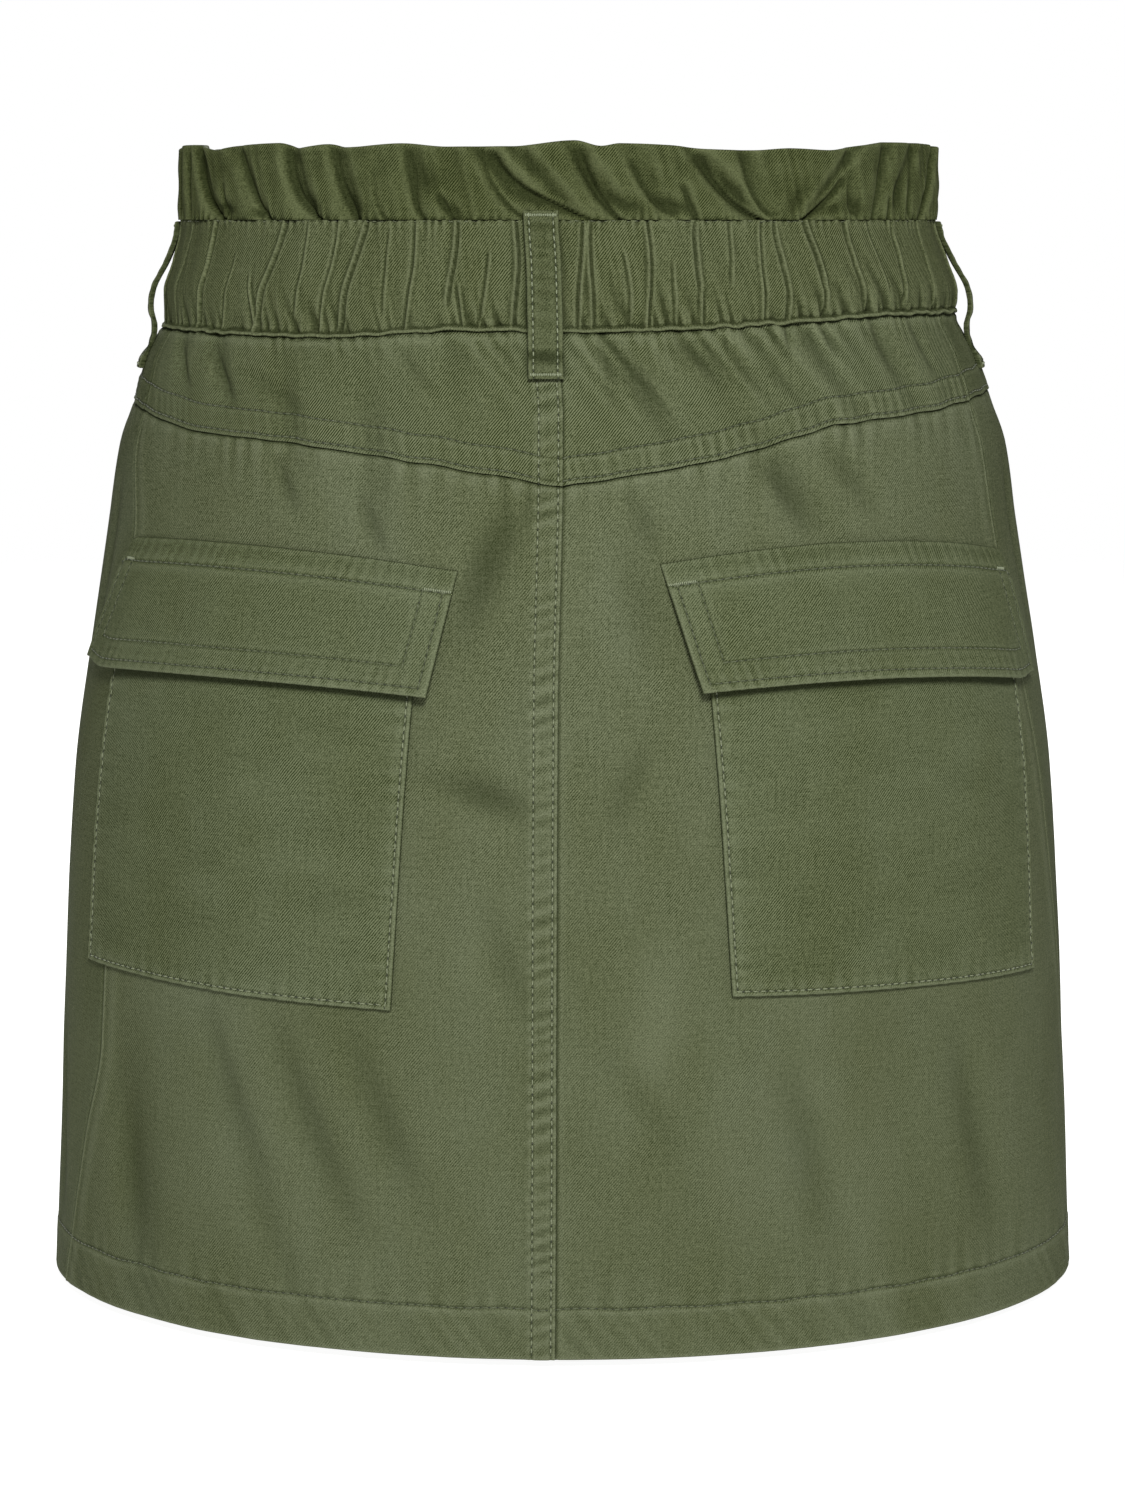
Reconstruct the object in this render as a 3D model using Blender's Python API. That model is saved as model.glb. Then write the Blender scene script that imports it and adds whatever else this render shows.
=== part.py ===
"""Cargo utility skirt: short, pull-on, with a gathered elastic waist and a ruffle above it.

The garment keeps the hollow form of its cut on a general figure. Lengths are in millimetres
and become metres in add_solid. +Z is up, the back of the skirt faces -Y and the wearer's
right is +X. The origin lies inside the waist, at half the height of the elastic waistband.

A place round the body is a share of half the girth at its height: 0 at the centre back,
1 at the centre front, positive towards +X. Lift is a distance out from the body's surface.
"""
import bpy
import numpy as np

METRES_PER_MM = 0.001

# Lengths down the garment
STITCH_LINE = 19.7
RUFFLE_TOP = 46.5
HEM = -373.5
HEM_DEPTH = 20.0

# Cloth and seams
CLOTH = 1.5
RUFFLE_WALL = 2.0
WAISTBAND_WALL = 3.2
HEM_WALL = 2.5
FLAP_WALL = 1.9
LOOP_WALL = 2.0
SEAM_GAP = 0.3
FELLED_WIDTH = 9.4
FELLED_STEP = 0.8
FELLED_RISE = 0.6
YOKE_RISE = 0.5
BEAD_RISE = 0.6
BEAD_CREASE = 0.4

# Belt loops: straps over the waistband, seated at both ends. Each has its place, how much of
# the bow in LOOP_PATH it keeps, and what it climbs at its foot for a lapped seam beneath
LOOP_WIDTH = 12.0
LOOP_SEAT = 1.2
LOOPS = {
    "belt_loop_centre": dict(middle=-0.012, bow=0.45, climb=0.7),
    "belt_loop_left": dict(middle=-0.5, bow=1.0, climb=0.0),
    "belt_loop_right": dict(middle=0.5, bow=1.0, climb=0.0),
}

# How finely each piece is divided
RUFFLE_COLUMNS = 190
RUFFLE_ROWS = (0.0, 0.3, 0.65, 1.0)
COLUMNS_PER_GATHER = 3
COLUMNS_PER_INNER = 5
FINE_GATHER_SPACING = 0.0172
BAND_ROWS = (0.0, 0.35, 0.7, 0.92, 1.0)
YOKE_COLUMNS = 30
FRONT_YOKE_COLUMNS = 38
YOKE_ROWS = 3
PANEL_COLUMNS = 17
FRONT_PANEL_COLUMNS = 34
PANEL_ROWS = 14
POCKET_COLUMNS = 11
POCKET_ROWS = 8
FLAP_COLUMNS = 13
ARC_STEPS = 181


def table(columns, *rows):
    """Give a table's columns as arrays, by name."""
    return dict(zip(columns.split(), np.array(rows, dtype=float).T))


# Sections of the filled-out body, from the ruffle's top down to the hem. The middle is how far
# the section's centre lies towards +X
SECTIONS = table(
    "height middle half_width back_depth front_depth",
    (46.5, -1.3, 138.2, 97.5, 93.5),
    (19.7, -1.6, 138.8, 98.0, 94.0),
    (5.0, -0.9, 143.0, 100.5, 96.0),
    (-6.5, -0.7, 146.5, 102.5, 98.0),
    (-16.0, -0.7, 146.3, 103.0, 98.5),
    (-21.0, -0.7, 148.7, 104.5, 100.0),
    (-29.0, -0.7, 153.1, 108.5, 103.0),
    (-46.0, 0.2, 158.6, 114.0, 107.0),
    (-61.0, 0.2, 163.9, 119.0, 110.0),
    (-90.0, 0.0, 168.5, 125.0, 113.0),
    (-135.0, 0.0, 176.3, 129.8, 115.4),
    (-180.0, 0.0, 183.0, 132.3, 117.0),
    (-235.0, 0.0, 186.9, 133.2, 117.6),
    (-310.0, 0.1, 190.7, 133.6, 117.9),
    (-373.5, 0.0, 194.0, 134.0, 118.0))

# Height of the seam between the waistband and the skirt, which dips to the left
WAIST_SEAM = table(
    "share height",
    (-1.0, -17.0), (-0.45, -19.2), (-0.22, -20.8), (-0.08, -18.0), (0.0, -18.8),
    (0.11, -17.8), (0.24, -15.4), (0.33, -13.8), (0.45, -13.9), (1.0, -17.0))

# Height of the yoke seam: a shallow V at the back, nearly level in front
YOKE_SEAM = table(
    "share height",
    (-1.0, -38.0), (-0.7, -40.5), (-0.44, -47.3), (-0.32, -54.0), (-0.24, -56.0),
    (-0.12, -61.8), (0.0, -69.9), (0.11, -62.2), (0.16, -57.6), (0.23, -50.6),
    (0.31, -48.0), (0.47, -41.9), (0.7, -39.0), (1.0, -38.0))

# Where the side seams and the centre back seam run
LEFT_SIDE = table(
    "height share",
    (-15.0, -0.425), (-60.0, -0.412), (-90.0, -0.39), (-180.0, -0.375), (-277.0, -0.38),
    (-316.0, -0.403), (-373.5, -0.433))
RIGHT_SIDE = table(
    "height share",
    (-12.0, 0.41), (-60.0, 0.397), (-90.0, 0.4), (-180.0, 0.43), (-277.0, 0.475),
    (-316.0, 0.49), (-373.5, 0.5))
CENTRE_BACK = table(
    "height share",
    (-15.0, 0.0), (-70.0, 0.0), (-140.0, -0.003), (-373.5, -0.005))

# Folds of the ruffle: each is a trough from its place at the stitch line to one at the top
RUFFLE_FOLDS = table(
    "at_stitch at_top depth half_width",
    (-0.975, -0.960, 3.0, 7.0), (-0.915, -0.935, 3.6, 6.5), (-0.862, -0.850, 2.4, 7.0),
    (-0.806, -0.822, 4.0, 7.5), (-0.742, -0.760, 3.0, 6.5), (-0.690, -0.684, 2.2, 6.0),
    (-0.630, -0.655, 4.2, 7.5), (-0.570, -0.585, 3.0, 6.5), (-0.518, -0.525, 3.4, 6.0),
    (-0.467, -0.462, 2.6, 5.0), (-0.425, -0.430, 3.6, 5.5), (-0.367, -0.402, 4.4, 7.0),
    (-0.295, -0.335, 3.2, 6.5), (-0.244, -0.264, 4.2, 7.0), (-0.195, -0.214, 3.8, 6.5),
    (-0.132, -0.139, 2.8, 6.5), (-0.090, -0.104, 2.0, 6.0), (-0.030, -0.074, 3.0, 6.0),
    (0.016, -0.040, 4.4, 6.5), (0.060, 0.014, 4.0, 6.5), (0.104, 0.066, 2.6, 6.5),
    (0.188, 0.126, 4.6, 7.5), (0.202, 0.176, 2.4, 5.5), (0.244, 0.296, 4.0, 6.5),
    (0.296, 0.287, 1.6, 6.0), (0.325, 0.342, 3.0, 6.5), (0.350, 0.388, 3.2, 6.0),
    (0.412, 0.444, 4.0, 6.5), (0.470, 0.488, 3.0, 6.0), (0.530, 0.518, 3.6, 6.5),
    (0.588, 0.612, 3.0, 7.0), (0.645, 0.640, 4.0, 7.0), (0.702, 0.726, 2.6, 6.5),
    (0.768, 0.752, 3.8, 7.5), (0.830, 0.846, 2.8, 6.5), (0.884, 0.870, 3.6, 7.0),
    (0.940, 0.958, 3.0, 6.5))
RUFFLE_FULLNESS = 1.3
RUFFLE_TOP_WAVE = 0.9

# The longest gathers of the waistband, which run from the stitch line to the seam
LONG_GATHERS = table(
    "share depth",
    (-0.955, 1.3), (-0.905, 0.9), (-0.842, 1.4), (-0.781, 1.0), (-0.715, 1.3),
    (-0.664, 0.9), (-0.602, 1.4), (-0.556, 0.9), (-0.470, 1.0), (-0.420, 0.8),
    (-0.365, 1.5), (-0.297, 0.9), (-0.279, 1.4), (-0.216, 1.2), (-0.191, 1.4),
    (-0.134, 1.2), (-0.097, 1.3), (-0.038, 1.5), (0.018, 1.4), (0.031, 1.2),
    (0.082, 1.3), (0.127, 1.4), (0.188, 1.2), (0.206, 1.0), (0.244, 1.5),
    (0.287, 0.9), (0.347, 1.0), (0.402, 0.9), (0.462, 1.1), (0.548, 1.0),
    (0.611, 1.4), (0.668, 0.9), (0.729, 1.3), (0.786, 1.0), (0.851, 1.4),
    (0.903, 0.9), (0.962, 1.2))
FINE_GATHER_DEPTH = 0.8

# Creases of the skirt: soft troughs (or ridges, where the depth is negative)
CREASES = table(
    "from_share from_height to_share to_height depth half_width",
    (-0.345, -10.0, -0.290, -50.0, 1.4, 8.0), (-0.395, -12.0, -0.350, -48.0, 1.0, 7.0),
    (-0.262, -12.0, -0.205, -80.0, 1.2, 9.0), (-0.175, -14.0, -0.135, -98.0, 1.3, 10.0),
    (-0.105, -12.0, -0.085, -45.0, 0.9, 8.0), (-0.020, -60.0, -0.078, -132.0, 1.8, 15.0),
    (0.020, -10.0, 0.098, -66.0, 1.4, 9.0), (0.088, -10.0, 0.150, -56.0, 1.0, 8.0),
    (0.140, -40.0, 0.215, -98.0, 1.4, 11.0), (0.205, -8.0, 0.262, -52.0, 1.2, 8.0),
    (0.290, -6.0, 0.330, -60.0, 1.0, 8.0), (0.048, -78.0, 0.068, -142.0, 1.2, 14.0),
    (-0.088, -163.0, -0.015, -185.0, 1.2, 11.0), (-0.272, -251.0, -0.232, -300.0, 1.6, 13.0),
    (-0.212, -252.0, -0.165, -302.0, 1.6, 13.0), (-0.158, -253.0, -0.110, -304.0, 1.4, 13.0),
    (-0.345, -268.0, -0.320, -390.0, 1.8, 18.0), (0.075, -215.0, 0.050, -300.0, -1.3, 20.0),
    (0.150, -262.0, 0.190, -330.0, 1.2, 16.0), (0.300, -262.0, 0.345, -340.0, 1.4, 16.0),
    (-0.600, -12.0, -0.560, -70.0, 1.3, 11.0), (-0.720, -12.0, -0.700, -66.0, 1.1, 11.0),
    (-0.860, -12.0, -0.845, -78.0, 1.3, 12.0), (0.960, -12.0, 0.975, -72.0, 1.1, 12.0),
    (0.820, -12.0, 0.800, -70.0, 1.3, 12.0), (0.690, -12.0, 0.660, -76.0, 1.2, 12.0),
    (0.570, -12.0, 0.540, -62.0, 1.2, 10.0), (-0.640, -120.0, -0.600, -210.0, 1.6, 22.0),
    (0.700, -110.0, 0.640, -190.0, 1.5, 22.0), (-0.800, -250.0, -0.780, -395.0, 2.0, 24.0),
    (0.860, -230.0, 0.880, -395.0, 2.0, 24.0), (0.620, -280.0, 0.600, -395.0, 1.8, 22.0))

# Cargo pockets, from under the flap down: shares at the inner and outer edges, bottom heights
POCKET_TOP = -106.0
POCKETS = {
    "pocket_left": dict(side=-1, inner=(0.104, 0.120), outer=(0.386, 0.397), bottom=(-250.4, -247.2)),
    "pocket_right": dict(side=1, inner=(0.103, 0.118), outer=(0.394, 0.392), bottom=(-245.2, -250.2)),
}
POCKET_LIFT = 0.4
POCKET_WALL = 1.6
POCKET_FULLNESS = 0.8

# Flaps: shares at the inner and outer edges (top, bottom); heights inner, middle and outer
FLAPS = {
    "flap_left": dict(side=-1, inner=(0.078, 0.096), outer=(0.392, 0.432),
                      top=(-98.5, -92.0, -93.0), bottom=(-141.0, -137.6, -141.2)),
    "flap_right": dict(side=1, inner=(0.073, 0.099), outer=(0.408, 0.425),
                       top=(-96.2, -90.6, -98.4), bottom=(-139.6, -137.9, -146.4)),
}
FLAP_ROWS = table("way_down lift", (0.0, 0.4), (0.14, 2.5), (0.5, 3.1), (0.8, 3.6), (1.0, 4.3))

# Side view of a belt loop: how far its inner face stands off the surface beneath
LOOP_PATH = table(
    "height lift",
    (23.0, 1.3), (17.0, 0.9), (11.5, 1.0), (4.5, 1.2), (-2.5, 1.4), (-7.5, 2.1),
    (-12.0, 3.3), (-16.5, 3.3), (-21.0, 1.5), (-25.0, 0.7), (-29.5, 0.4), (-34.0, 0.4))

# Principled material of each kind of piece: colour, roughness, metallic
TWILL = ((0.108, 0.135, 0.064), 0.86, 0.0)
SHADED_TWILL = ((0.096, 0.121, 0.057), 0.88, 0.0)
POCKET_TWILL = ((0.115, 0.142, 0.068), 0.86, 0.0)
LOOP_TWILL = ((0.121, 0.149, 0.073), 0.84, 0.0)


def wrap(share):
    """Bring a share back between -1 and 1."""
    return (np.asarray(share, dtype=float) + 1.0) % 2.0 - 1.0


def look_up(rows, column, value, key="height"):
    """Read a table's column at a value of its key column, by straight lines between rows."""
    order = np.argsort(rows[key])
    return np.interp(value, rows[key][order], rows[column][order])


def smooth_look_up(rows, column, height):
    """Read a column of the sections by a curve that doesn't overshoot its rows."""
    x = rows["height"][::-1]
    y = rows[column][::-1]
    slopes = np.diff(y) / np.diff(x)
    before, after = slopes[:-1], slopes[1:]
    same_way = before * after > 0.0
    mean = 2.0 * before * after / np.where(same_way, before + after, 1.0)
    tangents = np.concatenate([slopes[:1], np.where(same_way, mean, 0.0), slopes[-1:]])
    h = np.clip(height, x[0], x[-1])
    i = np.clip(np.searchsorted(x, h) - 1, 0, len(x) - 2)
    width = x[i + 1] - x[i]
    t = (h - x[i]) / width
    return ((2 * t ** 3 - 3 * t ** 2 + 1) * y[i] + (t ** 3 - 2 * t ** 2 + t) * width * tangents[i]
            + (3 * t ** 2 - 2 * t ** 3) * y[i + 1] + (t ** 3 - t ** 2) * width * tangents[i + 1])


def section_run(height):
    """Give each height's half width and both depths, and the run of arc length with angle."""
    half_width = smooth_look_up(SECTIONS, "half_width", height)
    back = smooth_look_up(SECTIONS, "back_depth", height)
    front = smooth_look_up(SECTIONS, "front_depth", height)
    angle = np.linspace(0.0, np.pi, ARC_STEPS)
    depth = np.where(angle < np.pi / 2, back[:, None], front[:, None])
    x = half_width[:, None] * np.sin(angle)
    y = -depth * np.cos(angle)
    run = np.zeros_like(x)
    run[:, 1:] = np.cumsum(np.hypot(np.diff(x), np.diff(y)), axis=1)
    return half_width, back, front, angle, run


def half_girth(height):
    """Length of half the section at each height."""
    height = np.asarray(height, dtype=float)
    return section_run(height.ravel())[4][:, -1].reshape(height.shape)


def seam_height(seam, share):
    """Height of a seam at a place round the body."""
    return look_up(seam, "height", wrap(share), key="share")


def crease_depth(share, height):
    """Sum of the creases: how far the surface lies inside the plain body."""
    along = wrap(share) * half_girth(height)
    depth = np.zeros_like(along)
    for i in range(len(CREASES["depth"])):
        row = {name: column[i] for name, column in CREASES.items()}
        start = np.array([row["from_share"] * half_girth(row["from_height"]), row["from_height"]])
        way = np.array([row["to_share"] * half_girth(row["to_height"]), row["to_height"]]) - start
        length = np.hypot(*way)
        way = way / length
        ahead = ((along - start[0]) * way[0] + (height - start[1]) * way[1]) / length
        aside = ((along - start[0]) * way[1] - (height - start[1]) * way[0]) / row["half_width"]
        across = np.cos(np.clip(aside, -1.0, 1.0) * np.pi / 2) ** 2
        depth += row["depth"] * across * np.sin(np.clip(ahead, 0.0, 1.0) * np.pi)
    return depth


def body_points(share, height, lift):
    """Points at a lift from the plain body's surface, along its level normal."""
    share, height, lift = np.broadcast_arrays(wrap(share), height, lift)
    half_width, back, front, angle, run = section_run(height.ravel())
    target = np.abs(share.ravel()) * run[:, -1]
    turn = np.array([np.interp(t, r, angle) for t, r in zip(target, run)])
    depth = np.where(turn < np.pi / 2, back, front)
    side = np.where(share.ravel() < 0.0, -1.0, 1.0)
    x = side * half_width * np.sin(turn)
    y = -depth * np.cos(turn)
    normal = np.stack([x / half_width ** 2, y / depth ** 2], axis=1)
    normal /= np.linalg.norm(normal, axis=1)[:, None]
    x = x + normal[:, 0] * lift.ravel() + smooth_look_up(SECTIONS, "middle", height.ravel())
    y = y + normal[:, 1] * lift.ravel()
    return np.stack([x, y, height.ravel()], axis=1).reshape(share.shape + (3,))


def skirt_points(share, height, lift):
    """Points at a lift from the creased surface of the skirt."""
    return body_points(share, height, lift - crease_depth(share, height))


def steps(count):
    """Even steps from 0 to 1."""
    return np.linspace(0.0, 1.0, count + 1)


def add_solid(name, points, faces, finish):
    """Make one named object with its own material from points in millimetres."""
    mesh = bpy.data.meshes.new(name)
    mesh.from_pydata([tuple(p) for p in np.asarray(points) * METRES_PER_MM], [], faces)
    mesh.validate()
    mesh.shade_smooth()
    mesh.set_sharp_from_angle(angle=np.radians(50.0))
    colour, roughness, metallic = finish
    material = bpy.data.materials.new(name)
    material.use_nodes = True
    shader = material.node_tree.nodes["Principled BSDF"]
    shader.inputs["Base Color"].default_value = (*colour, 1.0)
    shader.inputs["Roughness"].default_value = roughness
    shader.inputs["Metallic"].default_value = metallic
    material.diffuse_color = (*colour, 1.0)
    mesh.materials.append(material)
    piece = bpy.data.objects.new(name, mesh)
    bpy.context.scene.collection.objects.link(piece)
    return piece


def rim_faces(outer, inner, per_inner=1):
    """Close the edge between an outer run of points and an inner run with fewer of them."""
    faces = []
    for j in range(len(inner) - 1):
        stretch = outer[j * per_inner:(j + 1) * per_inner + 1]
        faces.append([*stretch, inner[j + 1], inner[j]])
    return faces


def wall_solid(name, outer, inner, finish, ring=False, per_inner=1):
    """Close a wall of cloth between two grids of points, rows downwards, columns towards +X."""
    outer_count = outer.shape[0] * outer.shape[1]
    outer_ids = np.arange(outer_count).reshape(outer.shape[:2])
    inner_ids = outer_count + np.arange(inner.shape[0] * inner.shape[1]).reshape(inner.shape[:2])
    if ring:
        outer_ids = np.hstack([outer_ids, outer_ids[:, :1]])
        inner_ids = np.hstack([inner_ids, inner_ids[:, :1]])
    outer_ids = outer_ids.tolist()
    inner_ids = inner_ids.tolist()
    faces = []
    for upper, lower in zip(outer_ids, outer_ids[1:]):
        faces += [[upper[c], lower[c], lower[c + 1], upper[c + 1]] for c in range(len(upper) - 1)]
    for upper, lower in zip(inner_ids, inner_ids[1:]):
        faces += [[upper[c + 1], lower[c + 1], lower[c], upper[c]] for c in range(len(upper) - 1)]
    faces += rim_faces(outer_ids[0], inner_ids[0], per_inner)
    faces += [face[::-1] for face in rim_faces(outer_ids[-1], inner_ids[-1], per_inner)]
    if not ring:
        first = [row[0] for row in outer_ids], [row[0] for row in inner_ids]
        last = [row[-1] for row in outer_ids], [row[-1] for row in inner_ids]
        faces += [face[::-1] for face in rim_faces(*first)]
        faces += rim_faces(*last)
    points = np.vstack([outer.reshape(-1, 3), inner.reshape(-1, 3)])
    return add_solid(name, points, faces, finish)


def ruffle_lift(share, way_up):
    """How far the ruffle stands out or in: troughs between full, rounded waves."""
    girth = half_girth(np.full_like(share, STITCH_LINE))
    trough = np.zeros_like(share)
    for i in range(len(RUFFLE_FOLDS["depth"])):
        row = {name: column[i] for name, column in RUFFLE_FOLDS.items()}
        place = row["at_stitch"] + (row["at_top"] - row["at_stitch"]) * way_up
        aside = wrap(share - place) * girth / row["half_width"]
        across = np.cos(np.clip(aside, -1.0, 1.0) * np.pi / 2) ** 2
        trough = np.maximum(trough, row["depth"] * across)
    growth = 0.25 + 0.75 * np.sin(np.clip(way_up * 1.6, 0.0, 1.0) * np.pi / 2)
    return (RUFFLE_FULLNESS - trough) * growth


def make_ruffle():
    share = -1.0 + 2.0 * np.arange(RUFFLE_COLUMNS) / RUFFLE_COLUMNS
    way_up, share = np.meshgrid(RUFFLE_ROWS[::-1], share, indexing="ij")
    lift = ruffle_lift(share, way_up)
    foot = STITCH_LINE + SEAM_GAP
    height = foot + (RUFFLE_TOP - foot) * way_up
    height = height + way_up * RUFFLE_TOP_WAVE * (lift - RUFFLE_FULLNESS) / RUFFLE_FULLNESS
    outer = body_points(share, height, lift)
    inner = body_points(share, height, lift - RUFFLE_WALL)
    wall_solid("ruffle", outer, inner, TWILL, ring=True)


def gather_table():
    """All gathers round the waistband: the long ones, with fine ones spaced out between."""
    places = LONG_GATHERS["share"]
    shares = []
    depths = []
    lengths = []
    for i, place in enumerate(places):
        gap = (places[(i + 1) % len(places)] - place) % 2.0
        between = max(0, int(round(gap / FINE_GATHER_SPACING)) - 1)
        shares.append(place)
        depths.append(LONG_GATHERS["depth"][i])
        lengths.append(1.0)
        for k in range(between):
            uneven = 0.18 * np.sin(2.4 * (len(shares) + 1))
            shares.append(place + gap * (k + 1 + uneven) / (between + 1))
            depths.append(FINE_GATHER_DEPTH * (0.75 + 0.35 * np.sin(1.9 * len(shares))))
            lengths.append(0.35 + 0.3 * np.sin(3.1 * len(shares)) ** 2)
    spare = -len(shares) % COLUMNS_PER_INNER
    for k in range(spare):
        widest = int(np.argmax(np.diff(shares)))
        shares.insert(widest + 1, 0.5 * (shares[widest] + shares[widest + 1]))
        depths.insert(widest + 1, FINE_GATHER_DEPTH)
        lengths.insert(widest + 1, 0.4)
    return np.array(shares), np.array(depths), np.array(lengths)


def make_waistband():
    gathers, depths, lengths = gather_table()
    step = np.diff(np.append(gathers, gathers[0] + 2.0))
    part_way = np.arange(COLUMNS_PER_GATHER) / COLUMNS_PER_GATHER
    share = (gathers[:, None] + step[:, None] * part_way).ravel()
    relief = np.tile([-1.0, 0.25, 0.25], len(gathers)) * np.repeat(depths, COLUMNS_PER_GATHER)
    reach = np.repeat(lengths, COLUMNS_PER_GATHER)
    way_down, share = np.meshgrid(BAND_ROWS, share, indexing="ij")
    strength = np.clip((way_down - (1.0 - reach)) / np.maximum(reach, 0.3), 0.0, 1.0)
    strength = np.where(reach >= 1.0, 0.75, strength)
    lift = relief * strength
    lift[-2] -= BEAD_CREASE
    lift[-1] = BEAD_RISE
    height = STITCH_LINE + (seam_height(WAIST_SEAM, share) - STITCH_LINE) * way_down
    outer = body_points(share, height, lift)
    inner_share = share[[0, -1]][:, ::COLUMNS_PER_INNER]
    inner_height = height[[0, -1]][:, ::COLUMNS_PER_INNER]
    inner = body_points(inner_share, inner_height, -WAISTBAND_WALL)
    wall_solid("waistband", outer, inner, SHADED_TWILL, ring=True, per_inner=COLUMNS_PER_INNER)


def panel_grid(columns, rows, first_edge, last_edge, top_of, bottom_of):
    """Shares and heights of a panel between two side edges, a top seam and a bottom."""
    across, down = np.meshgrid(columns, rows)
    share = across * 1.0
    height = down * 1.0
    for settle in range(4):
        first = first_edge(height)
        last = last_edge(height)
        share = first + (last - first) * across
        height = top_of(share) + (bottom_of(share) - top_of(share)) * down
    return share, height


def edge(seam, offset):
    """A side edge: a seam's share at each height, moved by a distance along the body."""
    return lambda height: look_up(seam, "share", height) + offset / half_girth(height)


def level(value):
    """A top or bottom at one height."""
    return lambda share: np.full_like(share, value)


def under(seam):
    """A top edge just below a seam."""
    return lambda share: seam_height(seam, share) - SEAM_GAP


def felled_lift(share, height):
    """Rise of the lapped seam that lies to the left of the centre back line."""
    middle = look_up(CENTRE_BACK, "share", height)
    away = (middle - share) * half_girth(height)
    return FELLED_RISE * np.clip((FELLED_WIDTH + FELLED_STEP - away) / FELLED_STEP, 0.0, 1.0)


def back_columns(count, side):
    """Even columns of a back piece, with two more along the step of the lapped seam."""
    even = steps(count)
    if side > 0:
        return even
    width = 0.4 * half_girth(-200.0)
    step_columns = 1.0 - np.array([FELLED_WIDTH + FELLED_STEP, FELLED_WIDTH]) / width
    return np.append(even[even < step_columns[0] - 0.01], [*step_columns, 1.0])


def side_edges(side):
    """First and last edges of a back piece on one side."""
    if side < 0:
        return edge(LEFT_SIDE, 0.5 * SEAM_GAP), edge(CENTRE_BACK, -0.5 * SEAM_GAP)
    return edge(CENTRE_BACK, 0.5 * SEAM_GAP), edge(RIGHT_SIDE, -0.5 * SEAM_GAP)


def make_back_yoke(name, side):
    first, last = side_edges(side)
    columns = back_columns(YOKE_COLUMNS, side)
    share, height = panel_grid(columns, steps(YOKE_ROWS), first, last, under(WAIST_SEAM),
                               lambda s: seam_height(YOKE_SEAM, s))
    lift = np.zeros_like(share)
    lift[-1] = YOKE_RISE
    if side < 0:
        lift = np.maximum(lift, felled_lift(share, height))
    wall_solid(name, skirt_points(share, height, lift), skirt_points(share, height, -CLOTH), TWILL)


def panel_solid(name, columns, first, last, extra_lift):
    """A panel from the yoke seam to the hem, thicker inside where the hem is turned up."""
    hem_line = HEM + HEM_DEPTH
    rows = np.append(steps(PANEL_ROWS), 1.0)
    share, height = panel_grid(columns, rows, first, last, under(YOKE_SEAM), level(hem_line))
    height[-1] = HEM
    share[-1] = first(height[-1]) + (last(height[-1]) - first(height[-1])) * columns
    lift = extra_lift(share, height)
    wall = np.full_like(share, CLOTH)
    wall[-2:] = HEM_WALL
    wall_solid(name, skirt_points(share, height, lift), skirt_points(share, height, -wall), TWILL)


def make_back_panel(name, side):
    first, last = side_edges(side)
    columns = back_columns(PANEL_COLUMNS, side)
    extra = felled_lift if side < 0 else lambda share, height: np.zeros_like(share)
    panel_solid(name, columns, first, last, extra)


def front_edges():
    """First and last edges of a front piece, which runs round through the centre front."""
    right = edge(RIGHT_SIDE, 0.5 * SEAM_GAP)
    left = edge(LEFT_SIDE, -0.5 * SEAM_GAP)
    return right, lambda height: left(height) + 2.0


def make_front_yoke():
    first, last = front_edges()
    share, height = panel_grid(steps(FRONT_YOKE_COLUMNS), steps(YOKE_ROWS), first, last,
                               under(WAIST_SEAM), lambda s: seam_height(YOKE_SEAM, s))
    lift = np.zeros_like(share)
    lift[-1] = YOKE_RISE
    outer = skirt_points(share, height, lift)
    wall_solid("front_yoke", outer, skirt_points(share, height, -CLOTH), SHADED_TWILL)


def make_front_panel():
    first, last = front_edges()
    panel_solid("front_panel", steps(FRONT_PANEL_COLUMNS), first, last,
                lambda share, height: np.zeros_like(share))


def make_pocket(name, side, inner, outer, bottom):
    """A patch pocket, closed flat against the panel and a little full in the middle."""
    out, down = np.meshgrid(steps(POCKET_COLUMNS), steps(POCKET_ROWS))
    near = inner[0] + (inner[1] - inner[0]) * down
    far = outer[0] + (outer[1] - outer[0]) * down
    share = side * (near + (far - near) * out)
    height = POCKET_TOP + (bottom[0] + (bottom[1] - bottom[0]) * out - POCKET_TOP) * down
    fullness = POCKET_FULLNESS * np.sin(np.pi * out) * np.sin(np.pi * down)
    if side < 0:
        share, height, fullness = share[:, ::-1], height[:, ::-1], fullness[:, ::-1]
    outer_face = skirt_points(share, height, POCKET_LIFT + POCKET_WALL + fullness)
    wall_solid(name, outer_face, skirt_points(share, height, POCKET_LIFT), POCKET_TWILL)


def arch(values, out):
    """A curve through an inner, a middle and an outer height."""
    start, middle, end = values
    return start + (end - start) * out + 4.0 * (middle - 0.5 * (start + end)) * out * (1.0 - out)


def make_flap(name, side, inner, outer, top, bottom):
    """A pocket flap, sewn down along its top and standing off a little at its free edge."""
    out, down = np.meshgrid(steps(FLAP_COLUMNS), FLAP_ROWS["way_down"])
    near = inner[0] + (inner[1] - inner[0]) * down
    far = outer[0] + (outer[1] - outer[0]) * down
    share = side * (near + (far - near) * out)
    height = arch(top, out) + (arch(bottom, out) - arch(top, out)) * down
    lift = np.repeat(FLAP_ROWS["lift"][:, None], out.shape[1], axis=1)
    if side < 0:
        share, height = share[:, ::-1], height[:, ::-1]
    outer_face = skirt_points(share, height, lift + FLAP_WALL)
    wall_solid(name, outer_face, skirt_points(share, height, lift), POCKET_TWILL)


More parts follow.
